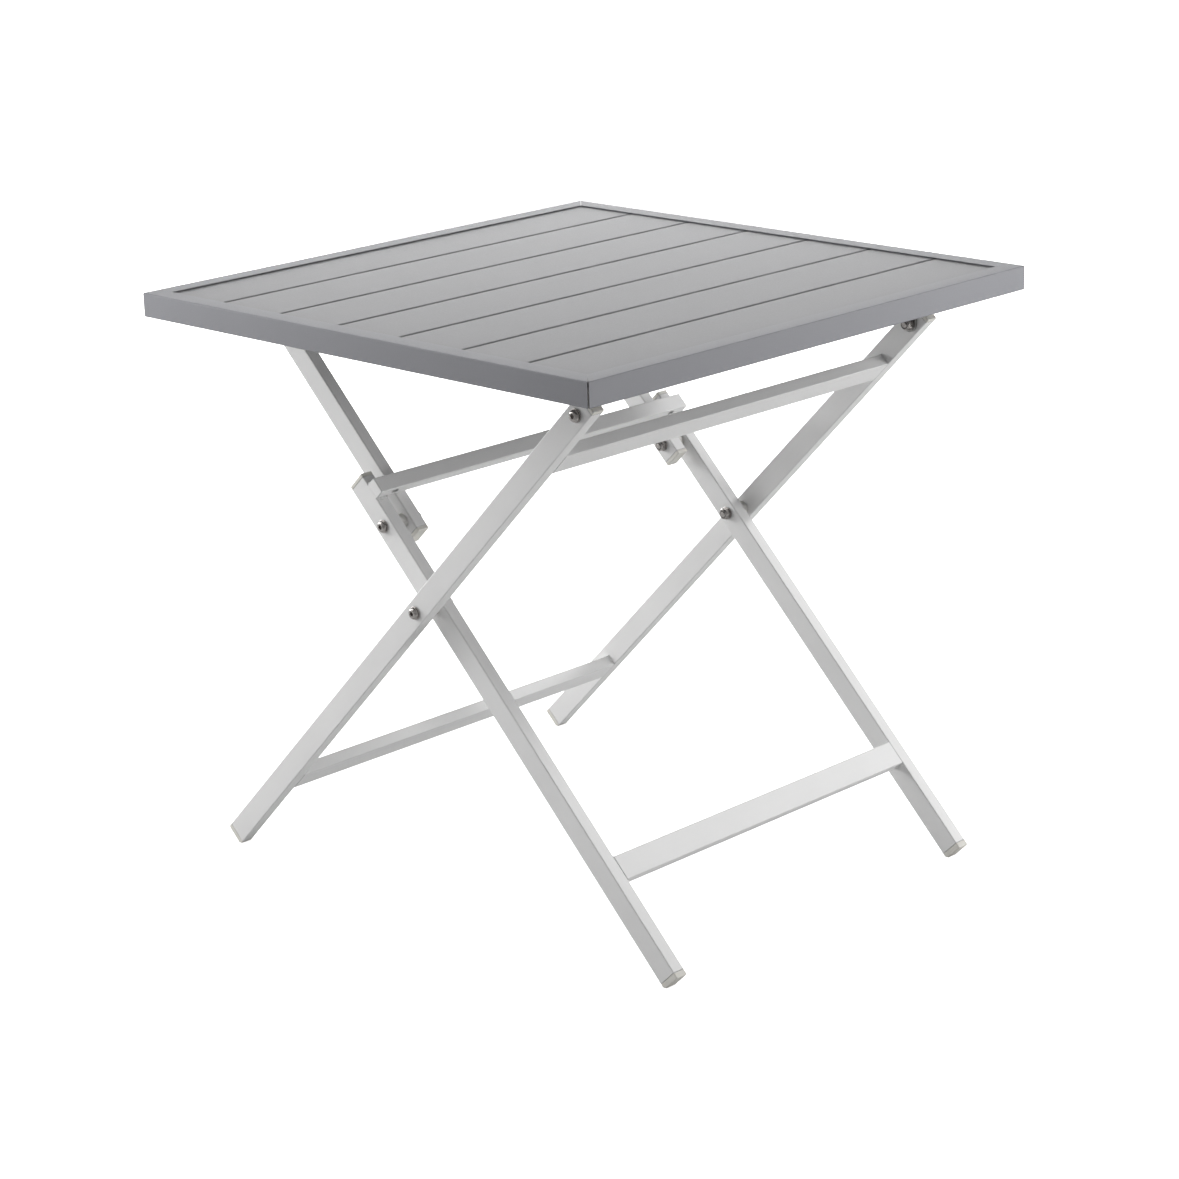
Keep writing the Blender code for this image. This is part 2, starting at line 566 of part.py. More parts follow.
def build_elbow(elbow):
    """The elbow pivot: a through bolt from the inner leg, a spacer and a nut inside the strut."""
    grip = 2 * TUBE_BREADTH + FRAME_GAP + CLEARANCE
    bolt = bolt_mesh(CLEARANCE + grip + WASHER_THICKNESS + NUT_THICKNESS + BOLT_PAST_NUT)
    nut = nut_mesh()
    spacer_length = FRAME_GAP - 2 * CLEARANCE
    spacer = spacer_mesh(spacer_length)
    for side, sign in SIDES:
        place_across(f"bolt_elbow_{side}", bolt, STAINLESS, sign, FRAME_B_OUTER_X + CLEARANCE, 0, 0,
                     True, elbow)
        place_across(f"nut_elbow_{side}", nut, STAINLESS, sign, FRAME_B_OUTER_X - grip, 0, 0,
                     False, elbow)
        place_across(f"spacer_elbow_{side}", spacer, SPACER_NYLON, sign,
                     STRUT_OUTER_X + FRAME_GAP / 2, 0, 0, True, elbow)


build_rails()
build_slats()
build_battens()
build_brackets()
FRAME_A = build_frame_a()
ELBOW = build_frame_b()
build_struts()
build_top_pivot("top_a", -PIVOT_HALF_SPAN, FRAME_A_OUTER_X)
build_top_pivot("top_c", PIVOT_HALF_SPAN, STRUT_OUTER_X)
build_crossing(FRAME_A, ELBOW)
build_elbow(ELBOW)
bpy.context.view_layer.update()
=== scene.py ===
"""Looks for the folding slatted picnic table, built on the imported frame.

Metres, X along the slats, Y across them, Z up. Each finer piece takes its place and size from the box of the
CAD node that it stands for, measured in the local frame of its body's joint, and rides on that body.
"""
import json
import math

import bmesh
import bpy
from mathutils import Matrix, Vector


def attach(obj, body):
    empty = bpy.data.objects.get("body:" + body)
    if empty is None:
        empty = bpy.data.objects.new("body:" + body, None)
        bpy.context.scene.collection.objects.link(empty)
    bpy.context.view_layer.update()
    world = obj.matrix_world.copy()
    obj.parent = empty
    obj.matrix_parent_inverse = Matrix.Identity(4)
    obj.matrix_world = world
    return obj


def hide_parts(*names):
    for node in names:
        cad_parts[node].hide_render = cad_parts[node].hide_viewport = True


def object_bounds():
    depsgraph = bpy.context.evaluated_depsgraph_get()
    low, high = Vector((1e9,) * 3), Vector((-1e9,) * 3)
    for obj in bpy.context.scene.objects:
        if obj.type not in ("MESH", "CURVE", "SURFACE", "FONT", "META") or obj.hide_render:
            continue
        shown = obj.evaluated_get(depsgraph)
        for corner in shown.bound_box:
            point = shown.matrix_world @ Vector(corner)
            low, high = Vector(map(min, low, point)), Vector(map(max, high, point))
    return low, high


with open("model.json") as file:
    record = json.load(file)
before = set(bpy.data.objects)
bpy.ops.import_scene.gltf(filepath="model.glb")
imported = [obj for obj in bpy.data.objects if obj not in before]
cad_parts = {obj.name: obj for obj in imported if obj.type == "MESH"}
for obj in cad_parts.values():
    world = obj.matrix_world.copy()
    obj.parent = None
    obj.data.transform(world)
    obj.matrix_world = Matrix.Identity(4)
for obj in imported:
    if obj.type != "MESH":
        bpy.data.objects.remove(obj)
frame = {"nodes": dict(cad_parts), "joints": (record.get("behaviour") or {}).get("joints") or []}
CAD_LOW, CAD_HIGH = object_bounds()
SIDES = (("left", -1), ("right", 1))
SLATS = range(1, 8)
BRACKET_KINDS = ("a", "c")

# ---------------------------------------------------------------- camera
CAMERA_AZIMUTH = math.radians(-45.032)
CAMERA_ELEVATION = math.radians(17.248)
CAMERA_ROLL = math.radians(-1.7655)
CAMERA_DISTANCE = 3.8317
CAMERA_TARGET = Vector((0.0659, 0.0722, 0.2951))
CAMERA_LENS = 95.857
CAMERA_SENSOR = 36.0
CAMERA_CLIP_END = 60.0

# ---------------------------------------------------------------- studio
SKY_STRENGTH = 0.272
SKY_TILT = (-0.100, -0.100, 0.129)     # change of strength per axis: stronger from the camera's side and above
FLOOR_REACH = 12.0
FLOOR_DROP = 0.0002
FLOOR_SEEN = ((0.90, 0.90, 0.90, 1.0), (0.92, 0.92, 0.92, 1.0))
FLOOR_SEEN_GLOW = 0.80
FLOOR_BOUNCE = (0.50, 0.50, 0.50, 1.0)
FLOOR_GLOW = 0.02
WHITE = (1.0, 1.0, 1.0, 1.0)
# name, place, what it points at, width and height, watts
LIGHTS = (
    ("back_low", (2.7, 2.7, 1.0), (0.0, 0.0, 0.5), (2.4, 1.4), 72.0),
    ("back_left", (-0.9, 2.6, 0.9), (0.0, 0.0, 0.4), (1.2, 1.0), 51.5),
    ("top_right", (1.9, -1.2, 2.3), (0.0, 0.0, 0.4), (0.5, 0.5), 26.0),
    ("top_left", (-1.4, 1.6, 2.3), (0.0, 0.0, 0.4), (1.3, 1.3), 21.0),
    ("low_right", (1.4, -2.4, 0.30), (0.0, 0.0, 0.3), (1.2, 0.5), 16.0),
    ("floor_left", (-0.8, 0.0, 0.03), (-0.8, 0.0, 1.0), (0.4, 1.2), 0.4),
    ("floor_front", (0.0, -0.8, 0.03), (0.0, -0.8, 1.0), (1.2, 0.4), 0.8),
    ("near_left", (-1.3, 1.1, 0.75), (-0.2, 0.2, 0.6), (0.6, 0.6), 3.9),
    ("near_right", (1.3, -1.2, 0.7), (0.2, -0.2, 0.6), (0.5, 0.5), 7.6),
)

# ---------------------------------------------------------------- sizes that the boxes don't give
CUT_MARGIN = 0.01             # how far a cutting shape runs past what it cuts
CUT_EASE = 0.0004             # the deburred rim of a saw cut
SMOOTH_ANGLE = 38.0           # degrees; sharper edges stay crisp
BEAD_SMOOTH_ANGLE = 80.0
TURNED_STEPS = 48

RAIL_WALL = 0.0018
RAIL_LIP = 0.0012
RAIL_OUTER_RADIUS = 0.0012
RAIL_LIP_RADIUS = 0.0006
RAIL_INNER_RADIUS = 0.0006
RAIL_INNER_EASE = 0.0004
RAIL_SLOT_EASE = 0.0005
RAIL_SLOT_PLAY = 0.0003       # clearance under the slats in the rails' slot
RAIL_SEAM = 0.0013            # how far each rail's mitred end is eased back at the outer corner
RAIL_SEAM_DEPTH = 0.0032      # how far in from the outer face the easing runs
RAIL_SEAM_ROUND = 0.98        # a little under 1 keeps the easing's steepest point finite
RAIL_END_GAP = 0.00005

SLAT_WALL = 0.0013
SLAT_EDGE_RADIUS = 0.0012
SLAT_CELL_RADIUS = 0.0004
BATTEN_WALL = 0.0015
BATTEN_RADIUS = 0.0015

BRACKET_THICKNESS = 0.003
BRACKET_BEND = 0.003
BRACKET_CORNER = 0.0098
BRACKET_EASE = 0.0003

SCREW_RADIUS = 0.0036
SCREW_HEAD_HEIGHT = 0.0022
SCREW_RECESS = (0.0034, 0.0007, 0.0026)
SCREW_TURN = 0.4
FLANGE_SCREWS = (0.009, 0.026)         # distances from a flange's free end
FLANGE_CLEARANCE = 0.004
CONTACT = 0.0001              # closer than this counts as touching

TUBE_WALL = 0.0015
TUBE_RADIUS = 0.0014
TUBE_INNER_RADIUS = 0.0006
CROSSBAR_INNER_RADIUS = 0.0007
BORE_RADIUS = 0.0043

BEAD_RADIUS = 0.0013
BEAD_FLUSH_RADIUS = 0.00035   # where the weld is dressed flush
BEAD_PITCH = 0.0022
BEAD_RIPPLE = 0.13
BEAD_SIDES = 8
END_BEAD_SPACING = 0.0005
END_BEAD_SINK = 0.0003        # how deep the bead's middle lies under the bar's face
END_BEAD_INSET = 0.0002
END_BEAD_FADE = 4.0           # the bead is full from a quarter of the bar's depth
SIDE_BEAD_SPACING = 0.0004
SIDE_BEAD_GAIN = 1.15
SIDE_BEAD_INSET = 0.001
BEAD_OFFSET = 0.0002

STOP_BEAD_RADIUS = 0.0024
STOP_SLOT = (0.0095, 0.0060, 0.0028)   # the drain slot's length, width and corner radius
STOP_SLOT_INSET = 0.0245
STOP_SLOT_DEPTH = 0.004
STOP_PLUG_PLAY = 0.0001
STOP_PLUG_EASE = 0.0005
STOP_PLUG_TAPER = 0.0012
STOP_PLUG_DEPTH = 0.0010
STOP_PLUG_SINK = 0.0008
STOP_SEAM_DEPTH = 0.004
STOP_SEAM_PROUD = 0.0003
STOP_SEAM_RADIUS = 0.0003
STOP_SEAM_GAP = 0.00005

CAP_EDGE_RADIUS = 0.0014
CAP_WALL_GAP = 0.0018         # tube wall and clearance beside a cap's plug
CAP_UNDERCUT = 0.0002
PLUG_LENGTH = 0.010
PLUG_TAPER = 0.0012
PLUG_TIP = 0.0010
PLUG_RADIUS = 0.0008
PLUG_TIP_RADIUS = 0.0006

BOLT_RADIUS = 0.004
BOLT_TIP = 0.0010
THREAD_PITCH = 0.00125
THREAD_DEPTH = 0.00055
THREAD_RUNOUT = 0.0012
TOP_THREAD = 0.012
ELBOW_THREAD = 0.014
WASHER_RADIUS = 0.0078
WASHER_THICKNESS = 0.0015
WASHER_BORE = 0.0042
WASHER_EASE = 0.0002
HEAD_RADIUS = 0.0068
HEAD_HEIGHT = 0.0042
HEAD_FLAT = 0.0037
HEAD_RIM = 0.22               # the share of the head's height that is its straight rim
SOCKET_ACROSS = 0.0058
SOCKET_DEPTH = 0.0034
SOCKET_MARGIN = 0.002         # how far the socket's cutting shape stands past the head
NUT_ACROSS = 0.0150
NUT_THICKNESS = 0.0065
NUT_MARGIN = 0.001            # how far the hexagon's cutting shape stands past the nut
NUT_HEX_SHARE = 0.72          # the share of the nut's thickness that is hexagonal
STUB_BEYOND = 0.0010          # how far a stub shows past its nut
STUB_NODE_LENGTH = 0.02       # a CAD nut longer than this has a stub end
SPACER_EASE = 0.0005
SPINS = {"left": 0.35, "right": 0.8}   # how far each side's sockets and nuts happen to be turned, in radians


# ---------------------------------------------------------------- places
def joint_place(name):
    for joint in frame["joints"]:
        if joint["name"] == name:
            return Vector(joint["pos_m"])
    raise KeyError(name)


PIVOT_A = joint_place("frame_a_fold")
PIVOT_C = joint_place("strut_fold")
ELBOW = joint_place("elbow_fold")
STRUT_LINE = PIVOT_C - ELBOW
LEAN = math.atan2(STRUT_LINE.y, STRUT_LINE.z)
PLACES = {
    "top": Matrix.Identity(4),
    "frame_a": Matrix.Translation(PIVOT_A) @ Matrix.Rotation(LEAN, 4, "X"),
    "struts": Matrix.Translation(PIVOT_C) @ Matrix.Rotation(-LEAN, 4, "X"),
    "frame_b": Matrix.Translation(ELBOW) @ Matrix.Rotation(-LEAN, 4, "X"),
}


class Box:
    """A CAD node's box in the local frame of its body."""

    def __init__(self, node, body):
        inverse = PLACES[body].inverted()
        points = [inverse @ vertex.co for vertex in frame["nodes"][node].data.vertices]
        self.low = Vector([min(point[axis] for point in points) for axis in range(3)])
        self.high = Vector([max(point[axis] for point in points) for axis in range(3)])
        self.size = self.high - self.low
        self.center = (self.high + self.low) / 2


# ---------------------------------------------------------------- materials
class Paint:
    """A new material with its Principled shader and short helpers for its nodes."""

    def __init__(self, name):
        self.material = bpy.data.materials.new(name)
        self.material.use_nodes = True
        self.nodes = self.material.node_tree.nodes
        self.link = self.material.node_tree.links.new
        self.shader = self.nodes["Principled BSDF"]
        self.coordinates = self.nodes.new("ShaderNodeTexCoord").outputs["Object"]

    def feed(self, value, socket):
        self.link(value, self.shader.inputs[socket])

    def noise(self, scale, detail=2.0, stretch=None):
        node = self.nodes.new("ShaderNodeTexNoise")
        node.inputs["Scale"].default_value = scale
        node.inputs["Detail"].default_value = detail
        source = self.coordinates
        if stretch:
            mapping = self.nodes.new("ShaderNodeMapping")
            mapping.inputs["Scale"].default_value = stretch
            self.link(source, mapping.inputs["Vector"])
            source = mapping.outputs["Vector"]
        self.link(source, node.inputs["Vector"])
        return node.outputs["Fac"]

    def remap(self, value, to_low, to_high, low=0.3, high=0.7):
        """Map a range, by default the one that noise keeps to."""
        node = self.nodes.new("ShaderNodeMapRange")
        numbers = {"From Min": low, "From Max": high, "To Min": to_low, "To Max": to_high}
        for socket, number in numbers.items():
            node.inputs[socket].default_value = number
        self.link(value, node.inputs["Value"])
        return node.outputs["Result"]

    def mix(self, factor, first, second):
        node = self.nodes.new("ShaderNodeMix")
        node.data_type = "RGBA"
        for index, value in ((0, factor), (6, first), (7, second)):
            if isinstance(value, tuple):
                node.inputs[index].default_value = value
            else:
                self.link(value, node.inputs[index])
        return node.outputs[2]

    def bump(self, height, strength, distance, below=None):
        node = self.nodes.new("ShaderNodeBump")
        node.inputs["Strength"].default_value = strength
        node.inputs["Distance"].default_value = distance
        self.link(height, node.inputs["Height"])
        if below is not None:
            self.link(below, node.inputs["Normal"])
        return node.outputs["Normal"]

    def edges(self, radius, gain, most):
        """From zero on the flats up to most along rounded edges."""
        bevel = self.nodes.new("ShaderNodeBevel")
        bevel.samples = 4
        bevel.inputs["Radius"].default_value = radius
        geometry = self.nodes.new("ShaderNodeNewGeometry")
        dot = self.nodes.new("ShaderNodeVectorMath")
        dot.operation = "DOT_PRODUCT"
        self.link(bevel.outputs["Normal"], dot.inputs[0])
        self.link(geometry.outputs["Normal"], dot.inputs[1])
        bent = self.remap(dot.outputs["Value"], 0.0, 1.0, 1.0, 1.0 - gain)
        return self.remap(bent, 0.0, most, 0.0, 1.0)


def shade(color, factor=1.0):
    """An opaque colour, made darker or lighter by a factor."""
    return (*(min(channel * factor, 1.0) for channel in color), 1.0)


def powder_coat(name, color, flake, roughness, metallic, grain, edge_wear_and_shade, worn_and_shaded_edge_tone=0.86, edge_gain=0.25):
    """Baked powder coat: fine orange peel, a little flake, slow colour drift and an edge tone along rounded
    edges: paler worn edges on the grey parts, a dark painted shade line on the white ones.
    """
    paint = Paint(name)
    drift = paint.remap(paint.noise(7.0, 3.0), 0.0, 1.0)
    base = paint.mix(drift, shade(color, 0.975), shade(color, 1.025))
    speck = paint.remap(paint.noise(2600.0, 1.0), 0.0, flake, 0.58, 0.74)
    base = paint.mix(speck, base, shade(color, 1.7))
    # along rounded edges the colour moves toward the edge tone: paler wear on the grey rails and slats, and a
    # painted shade line on the white legs, where the tube's faces turn from lit to shaded
    base = paint.mix(paint.edges(0.0009, edge_gain, edge_wear_and_shade), base, shade([worn_and_shaded_edge_tone] * 3))
    paint.feed(base, "Base Color")
    paint.feed(paint.remap(paint.noise(400.0), roughness - 0.02, roughness + 0.02), "Roughness")
    paint.shader.inputs["Metallic"].default_value = metallic
    peel = paint.bump(paint.noise(900.0), grain, 0.00012)
    paint.feed(paint.bump(paint.noise(140.0, 1.0), grain * 0.35, 0.0003, peel), "Normal")
    return paint.material


def moulded_plastic(name, color, roughness):
    """Moulded plastic: a spark-eroded grain, faint flow marks and paler edges."""
    paint = Paint(name)
    flow = paint.remap(paint.noise(40.0, 3.0, (1.0, 1.0, 0.3)), 0.0, 1.0)
    base = paint.mix(flow, shade(color, 0.93), shade(color))
    base = paint.mix(paint.edges(0.0006, 0.3, 0.25), base, shade((0.88, 0.87, 0.84)))
    paint.feed(base, "Base Color")
    paint.feed(paint.remap(paint.noise(300.0), roughness - 0.05, roughness + 0.07), "Roughness")
    paint.shader.inputs["Subsurface Weight"].default_value = 0.05
    paint.shader.inputs["Subsurface Radius"].default_value = (0.002, 0.0015, 0.001)
    paint.shader.inputs["Subsurface Scale"].default_value = 1.0
    paint.feed(paint.bump(paint.noise(1600.0), 0.25, 0.00008), "Normal")
    return paint.material


def bright_metal(name, color, roughness, streaks, dullest=0.78):
    """Bare or plated steel: turning marks, small scratches, duller clouds and brighter edges."""
    paint = Paint(name)
    cloud = paint.remap(paint.noise(180.0, 4.0), 0.0, 1.0, 0.32, 0.68)
    base = paint.mix(cloud, shade(color, dullest), shade(color))
    base = paint.mix(paint.edges(0.0004, 0.3, 0.5), base, shade((0.85, 0.85, 0.84)))
    paint.feed(base, "Base Color")
    paint.shader.inputs["Metallic"].default_value = 1.0
    scratches = paint.noise(500.0, 3.0, streaks)
    paint.feed(paint.remap(scratches, roughness - 0.07, roughness + 0.10), "Roughness")
    paint.feed(paint.bump(paint.noise(900.0, 2.0, streaks), 0.22, 0.00006), "Normal")
    return paint.material


MATERIALS = {
    "rail_grey": powder_coat("rail_grey", (0.186, 0.188, 0.204), 0.35, 0.52, 0.12, 0.30, 0.10),
    "slat_grey": powder_coat("slat_grey", (0.166, 0.166, 0.174), 0.35, 0.50, 0.20, 0.30, 0.08),
    # the white parts' edge tone is dark grey: a painted shade line along every rounded edge of the legs, bars
    # and welds
    "leg_white": powder_coat("leg_white", (0.705, 0.703, 0.700), 0.10, 0.42, 0.0, 0.35, 0.85, 0.22, 0.07),
    "cap_white": moulded_plastic("cap_white", (0.665, 0.650, 0.605), 0.50),
    "stainless": bright_metal("stainless", (0.42, 0.40, 0.385), 0.20, (1.0, 1.0, 12.0)),
    "bracket_steel": bright_metal("bracket_steel", (0.36, 0.36, 0.35), 0.42, (1.0, 1.0, 1.0), 0.53),
    "spacer_nylon": moulded_plastic("spacer_nylon", (0.62, 0.61, 0.58), 0.45),
}


# ---------------------------------------------------------------- mesh helpers
# An outline lies in XY and its length runs along Z; these turn the length along X or Y.
ALONG_X = Matrix(((0, 0, 1, 0), (1, 0, 0, 0), (0, 1, 0, 0), (0, 0, 0, 1)))
ALONG_Y = Matrix(((1, 0, 0, 0), (0, 0, -1, 0), (0, 1, 0, 0), (0, 0, 0, 1)))
SWAP_YZ = Matrix(((1, 0, 0, 0), (0, 0, 1, 0), (0, 1, 0, 0), (0, 0, 0, 1)))
HALF_TURN = Matrix.Rotation(math.pi, 4, "Z")


def linked(name, data):
    thing = bpy.data.objects.new(name, data)
    bpy.context.scene.collection.objects.link(thing)
    return thing


def to_mesh(name, shape):
    mesh = bpy.data.meshes.new(name)
    bmesh.ops.recalc_face_normals(shape, faces=shape.faces)
    shape.to_mesh(mesh)
    shape.free()
    return mesh


def smooth(mesh, angle):
    mesh.shade_smooth()
    mesh.set_sharp_from_angle(angle=math.radians(angle))


def to_object(name, shape, slot, smooth_angle=SMOOTH_ANGLE):
    piece = linked(name, to_mesh(name, shape))
    piece.data.materials.append(MATERIALS[slot])
    smooth(piece.data, smooth_angle)
    return piece


def settle(piece, body, place=Matrix.Identity(4), stands_for=()):
    """Put a piece in its body's local frame, make it ride there, and hide the CAD parts that it stands for."""
    piece.matrix_world = PLACES[body] @ place
    normals = piece.modifiers.new("flat faces", "WEIGHTED_NORMAL")
    normals.keep_sharp = True
    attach(piece, body)
    if stands_for:
        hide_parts(*stands_for)


def rounded(width, height, radius, steps=6, center=(0.0, 0.0)):
    """Points round a rounded rectangle, from +X turning left."""
    points = []
    for corner, (sx, sy) in enumerate(((1, 1), (-1, 1), (-1, -1), (1, -1))):
        middle = Vector((center[0] + sx * (width / 2 - radius), center[1] + sy * (height / 2 - radius)))
        for step in range(steps + 1):
            angle = math.pi / 2 * (corner + step / steps)
            points.append(middle + radius * Vector((math.cos(angle), math.sin(angle))))
    return points


def arc(x, y, radius, start, sweep, steps=6):
    """Points along an arc about (x, y); its start and sweep are in half turns."""
    points = []
    for step in range(steps + 1):
        angle = math.pi * (start + sweep * step / steps)
        points.append((x + radius * math.cos(angle), y + radius * math.sin(angle)))
    return points


def hexagon(across, turn):
    radius = across / 2
    angles = [math.pi / 3 * corner + turn for corner in range(6)]
    return [Vector((radius * math.cos(angle), radius * math.sin(angle))) for angle in angles]


def ring(shape, points, z):
    return [shape.verts.new((point[0], point[1], z)) for point in points]


def bridge(shape, first, second):
    count = len(first)
    for index in range(count):
        following = (index + 1) % count
        shape.faces.new((first[index], first[following], second[following], second[index]))


def skin(shape, rings):
    """Walls between rings that follow one another."""
    for first, second in zip(rings, rings[1:]):
        bridge(shape, first, second)


def close(shape, rings):
    shape.faces.new(rings[0])
    shape.faces.new(rings[-1])


def join_ends(shape, ends):
    """Walls between two cut ends, each given as its loops of vertices, and a face with holes on each end."""
    for low, high in zip(*ends):
        bridge(shape, low, high)
    for loops in ends:
        edges = []
        for verts in loops:
            for first, second in zip(verts, verts[1:] + verts[:1]):
                edges.append(shape.edges.get((first, second)))
        bmesh.ops.triangle_fill(shape, edges=edges, use_beauty=True, use_dissolve=False)


def tube(outer, inner, levels):
    """A tube along Z through the given levels, between an outer and an inner outline of equal counts."""
    shape = bmesh.new()
    outsides = [ring(shape, outer, z) for z in levels]
    insides = [ring(shape, inner, z) for z in levels]
    skin(shape, outsides)
    skin(shape, insides)
    bridge(shape, outsides[0], insides[0])
    bridge(shape, outsides[-1], insides[-1])
    return shape


def eased_tube(width, height, wall, radius, low, high):
    """A cut tube along Z whose outer rim is eased, as a deburred saw cut is."""
    shape = bmesh.new()
    rings = []
    for z, shrink in ((low, CUT_EASE), (low + CUT_EASE, 0.0), (high - CUT_EASE, 0.0), (high, CUT_EASE)):
        outline = rounded(width - 2 * shrink, height - 2 * shrink, radius - shrink * 0.5)
        rings.append(ring(shape, outline, z))
    skin(shape, rings)
    hollow = rounded(width - 2 * wall, height - 2 * wall, max(radius - wall, TUBE_INNER_RADIUS))
    inner = [ring(shape, hollow, z) for z in (low, high)]
    bridge(shape, inner[0], inner[1])
    bridge(shape, rings[0], inner[0])
    bridge(shape, rings[-1], inner[1])
    return shape


def turned(profile, steps=TURNED_STEPS):
    """A turned shape about Z from (radius, z) points; a zero radius closes it."""
    shape = bmesh.new()
    turns = [2 * math.pi * step / steps for step in range(steps)]
    rings = []
    for radius, z in profile:
        if radius == 0:
            rings.append([shape.verts.new((0, 0, z))])
        else:
            rings.append([shape.verts.new((radius * math.cos(turn), radius * math.sin(turn), z))
                          for turn in turns])
    for first, second in zip(rings, rings[1:]):
        for index in range(steps):
            following = (index + 1) % steps
            corners = [first[index % len(first)], first[following % len(first)],
                       second[following % len(second)], second[index % len(second)]]
            unique = list(dict.fromkeys(corners))
            if len(unique) > 2:
                shape.faces.new(unique)
    return shape


def prism(points, low, high):
    shape = bmesh.new()
    rings = [ring(shape, points, low), ring(shape, points, high)]
    skin(shape, rings)
    close(shape, rings)
    return shape


def bore_cutter(length, z):
    """A drill along X at the given height."""
    shape = bmesh.new()
    bmesh.ops.create_cone(shape, cap_ends=True, segments=32, radius1=BORE_RADIUS, radius2=BORE_RADIUS,
                          depth=length, matrix=Matrix.Rotation(math.pi / 2, 4, "Y"))
    shape.transform(Matrix.Translation((0, 0, z)))
    return shape


def carve(piece, operation, *shapes):
    """Apply booleans with working shapes, which then go."""
    for shape in shapes:
        cutter = linked("cutter", to_mesh("cutter", shape))
        modifier = piece.modifiers.new("carve", "BOOLEAN")
        modifier.operation = operation
        modifier.solver = "EXACT"
        modifier.object = cutter
        bpy.context.view_layer.update()
        evaluated = piece.evaluated_get(bpy.context.evaluated_depsgraph_get())
        result = bpy.data.meshes.new_from_object(evaluated)
        piece.modifiers.clear()
        piece.data = result
        bpy.data.objects.remove(cutter)
    smooth(piece.data, SMOOTH_ANGLE)


# ---------------------------------------------------------------- tabletop
def rail_outline(width, height, slot_low, slot_high):
    """A rail's section: x runs inward from the outer face, y up. Rounded outer edges, lip, slot and box."""
    r, lip, ease = RAIL_OUTER_RADIUS, RAIL_LIP_RADIUS, RAIL_INNER_EASE
    points = arc(r, r, r, 1.0, 0.5)
    points += [(RAIL_SEAM_DEPTH, 0.0), (width - ease, 0.0), (width, ease)]
    points += [(width, slot_low - RAIL_SLOT_EASE), (width - RAIL_SLOT_EASE, slot_low)]
    points += [(RAIL_WALL + RAIL_INNER_RADIUS, slot_low), (RAIL_WALL, slot_low + RAIL_INNER_RADIUS)]
    points.append((RAIL_WALL, slot_high))
    points += arc(width - lip, slot_high + lip, lip, -0.5, 1.0)
    points.append((RAIL_SEAM_DEPTH, height))
    points += arc(r, height - r, r, 0.5, 0.5)
    return points


def make_rails():
    """Four mitred rails, each mitre eased back at the outer corner so that the joint shows as a fine seam."""
    slat = Box("slat_1", "top")
    rails = (("front", 0, 0.0), ("back", 0, math.pi), ("left", 1, -math.pi / 2), ("right", 1, math.pi / 2))
    for side, along, turn in rails:
        box = Box(f"rail_{side}", "top")
        across = 1 - along
        length, width, height = box.size[along], box.size[across], box.size.z
        slot_low = slat.low.z - RAIL_SLOT_PLAY - box.low.z
        outline = rail_outline(width, height, slot_low, height - RAIL_LIP)
        hollow = rounded(width - 2 * RAIL_WALL, slot_low - 2 * RAIL_WALL, RAIL_INNER_RADIUS, 2,
                         (width / 2, slot_low / 2))
        shape = bmesh.new()
        ends = []
        for sign in (-1, 1):
            loops = []
            for loop in (outline, hollow):
                verts = []
                for inward, up in loop:
                    share = max(0.0, 1.0 - inward / RAIL_SEAM_DEPTH)
                    seam = RAIL_SEAM * (1.0 - math.sqrt(1.0 - share * share * RAIL_SEAM_ROUND))
                    reach = length / 2 - inward - RAIL_END_GAP - seam
                    verts.append(shape.verts.new((sign * reach, inward, up)))
                loops.append(verts)
            ends.append(loops)
        join_ends(shape, ends)
        piece = to_object(f"{side}_rail", shape, "rail_grey")
        out = Vector((0.0, 0.0, box.low.z))
        out[across] = box.low[across] if side in ("front", "left") else box.high[across]
        settle(piece, "top", Matrix.Translation(out) @ Matrix.Rotation(turn, 4, "Z"),
               [f"rail_{side}"])


def make_slats():
    """Seven two-cell boards that share one mesh."""
    length, width, thickness = Box("slat_1", "top").size
    cell = (width - 3 * SLAT_WALL) / 2
    loops = [rounded(width, thickness, SLAT_EDGE_RADIUS, 4)]
    for sign in (-1, 1):
        loops.append(rounded(cell, thickness - 2 * SLAT_WALL, SLAT_CELL_RADIUS, 1,
                             (sign * (cell + SLAT_WALL) / 2, 0.0)))
    shape = bmesh.new()
    join_ends(shape, [[ring(shape, loop, z) for loop in loops] for z in (-length / 2, length / 2)])
    shape.transform(ALONG_X)
    model = to_object("slat_board_1", shape, "slat_grey")
    for number in SLATS:
        piece = model if number == 1 else linked(f"slat_board_{number}", model.data)
        node = f"slat_{number}"
        settle(piece, "top", Matrix.Translation(Box(node, "top").center), [node])


def make_battens():
    size = Box("batten_left", "top").size
    shape = eased_tube(size.x, size.z, BATTEN_WALL, BATTEN_RADIUS, -size.y / 2, size.y / 2)
    shape.transform(ALONG_Y)
    model = to_object("batten_bar_left", shape, "slat_grey")
    for side, _ in SIDES:
        piece = model if side == "left" else linked("batten_bar_right", model.data)
        node = f"batten_{side}"
        settle(piece, "top", Matrix.Translation(Box(node, "top").center), [node])


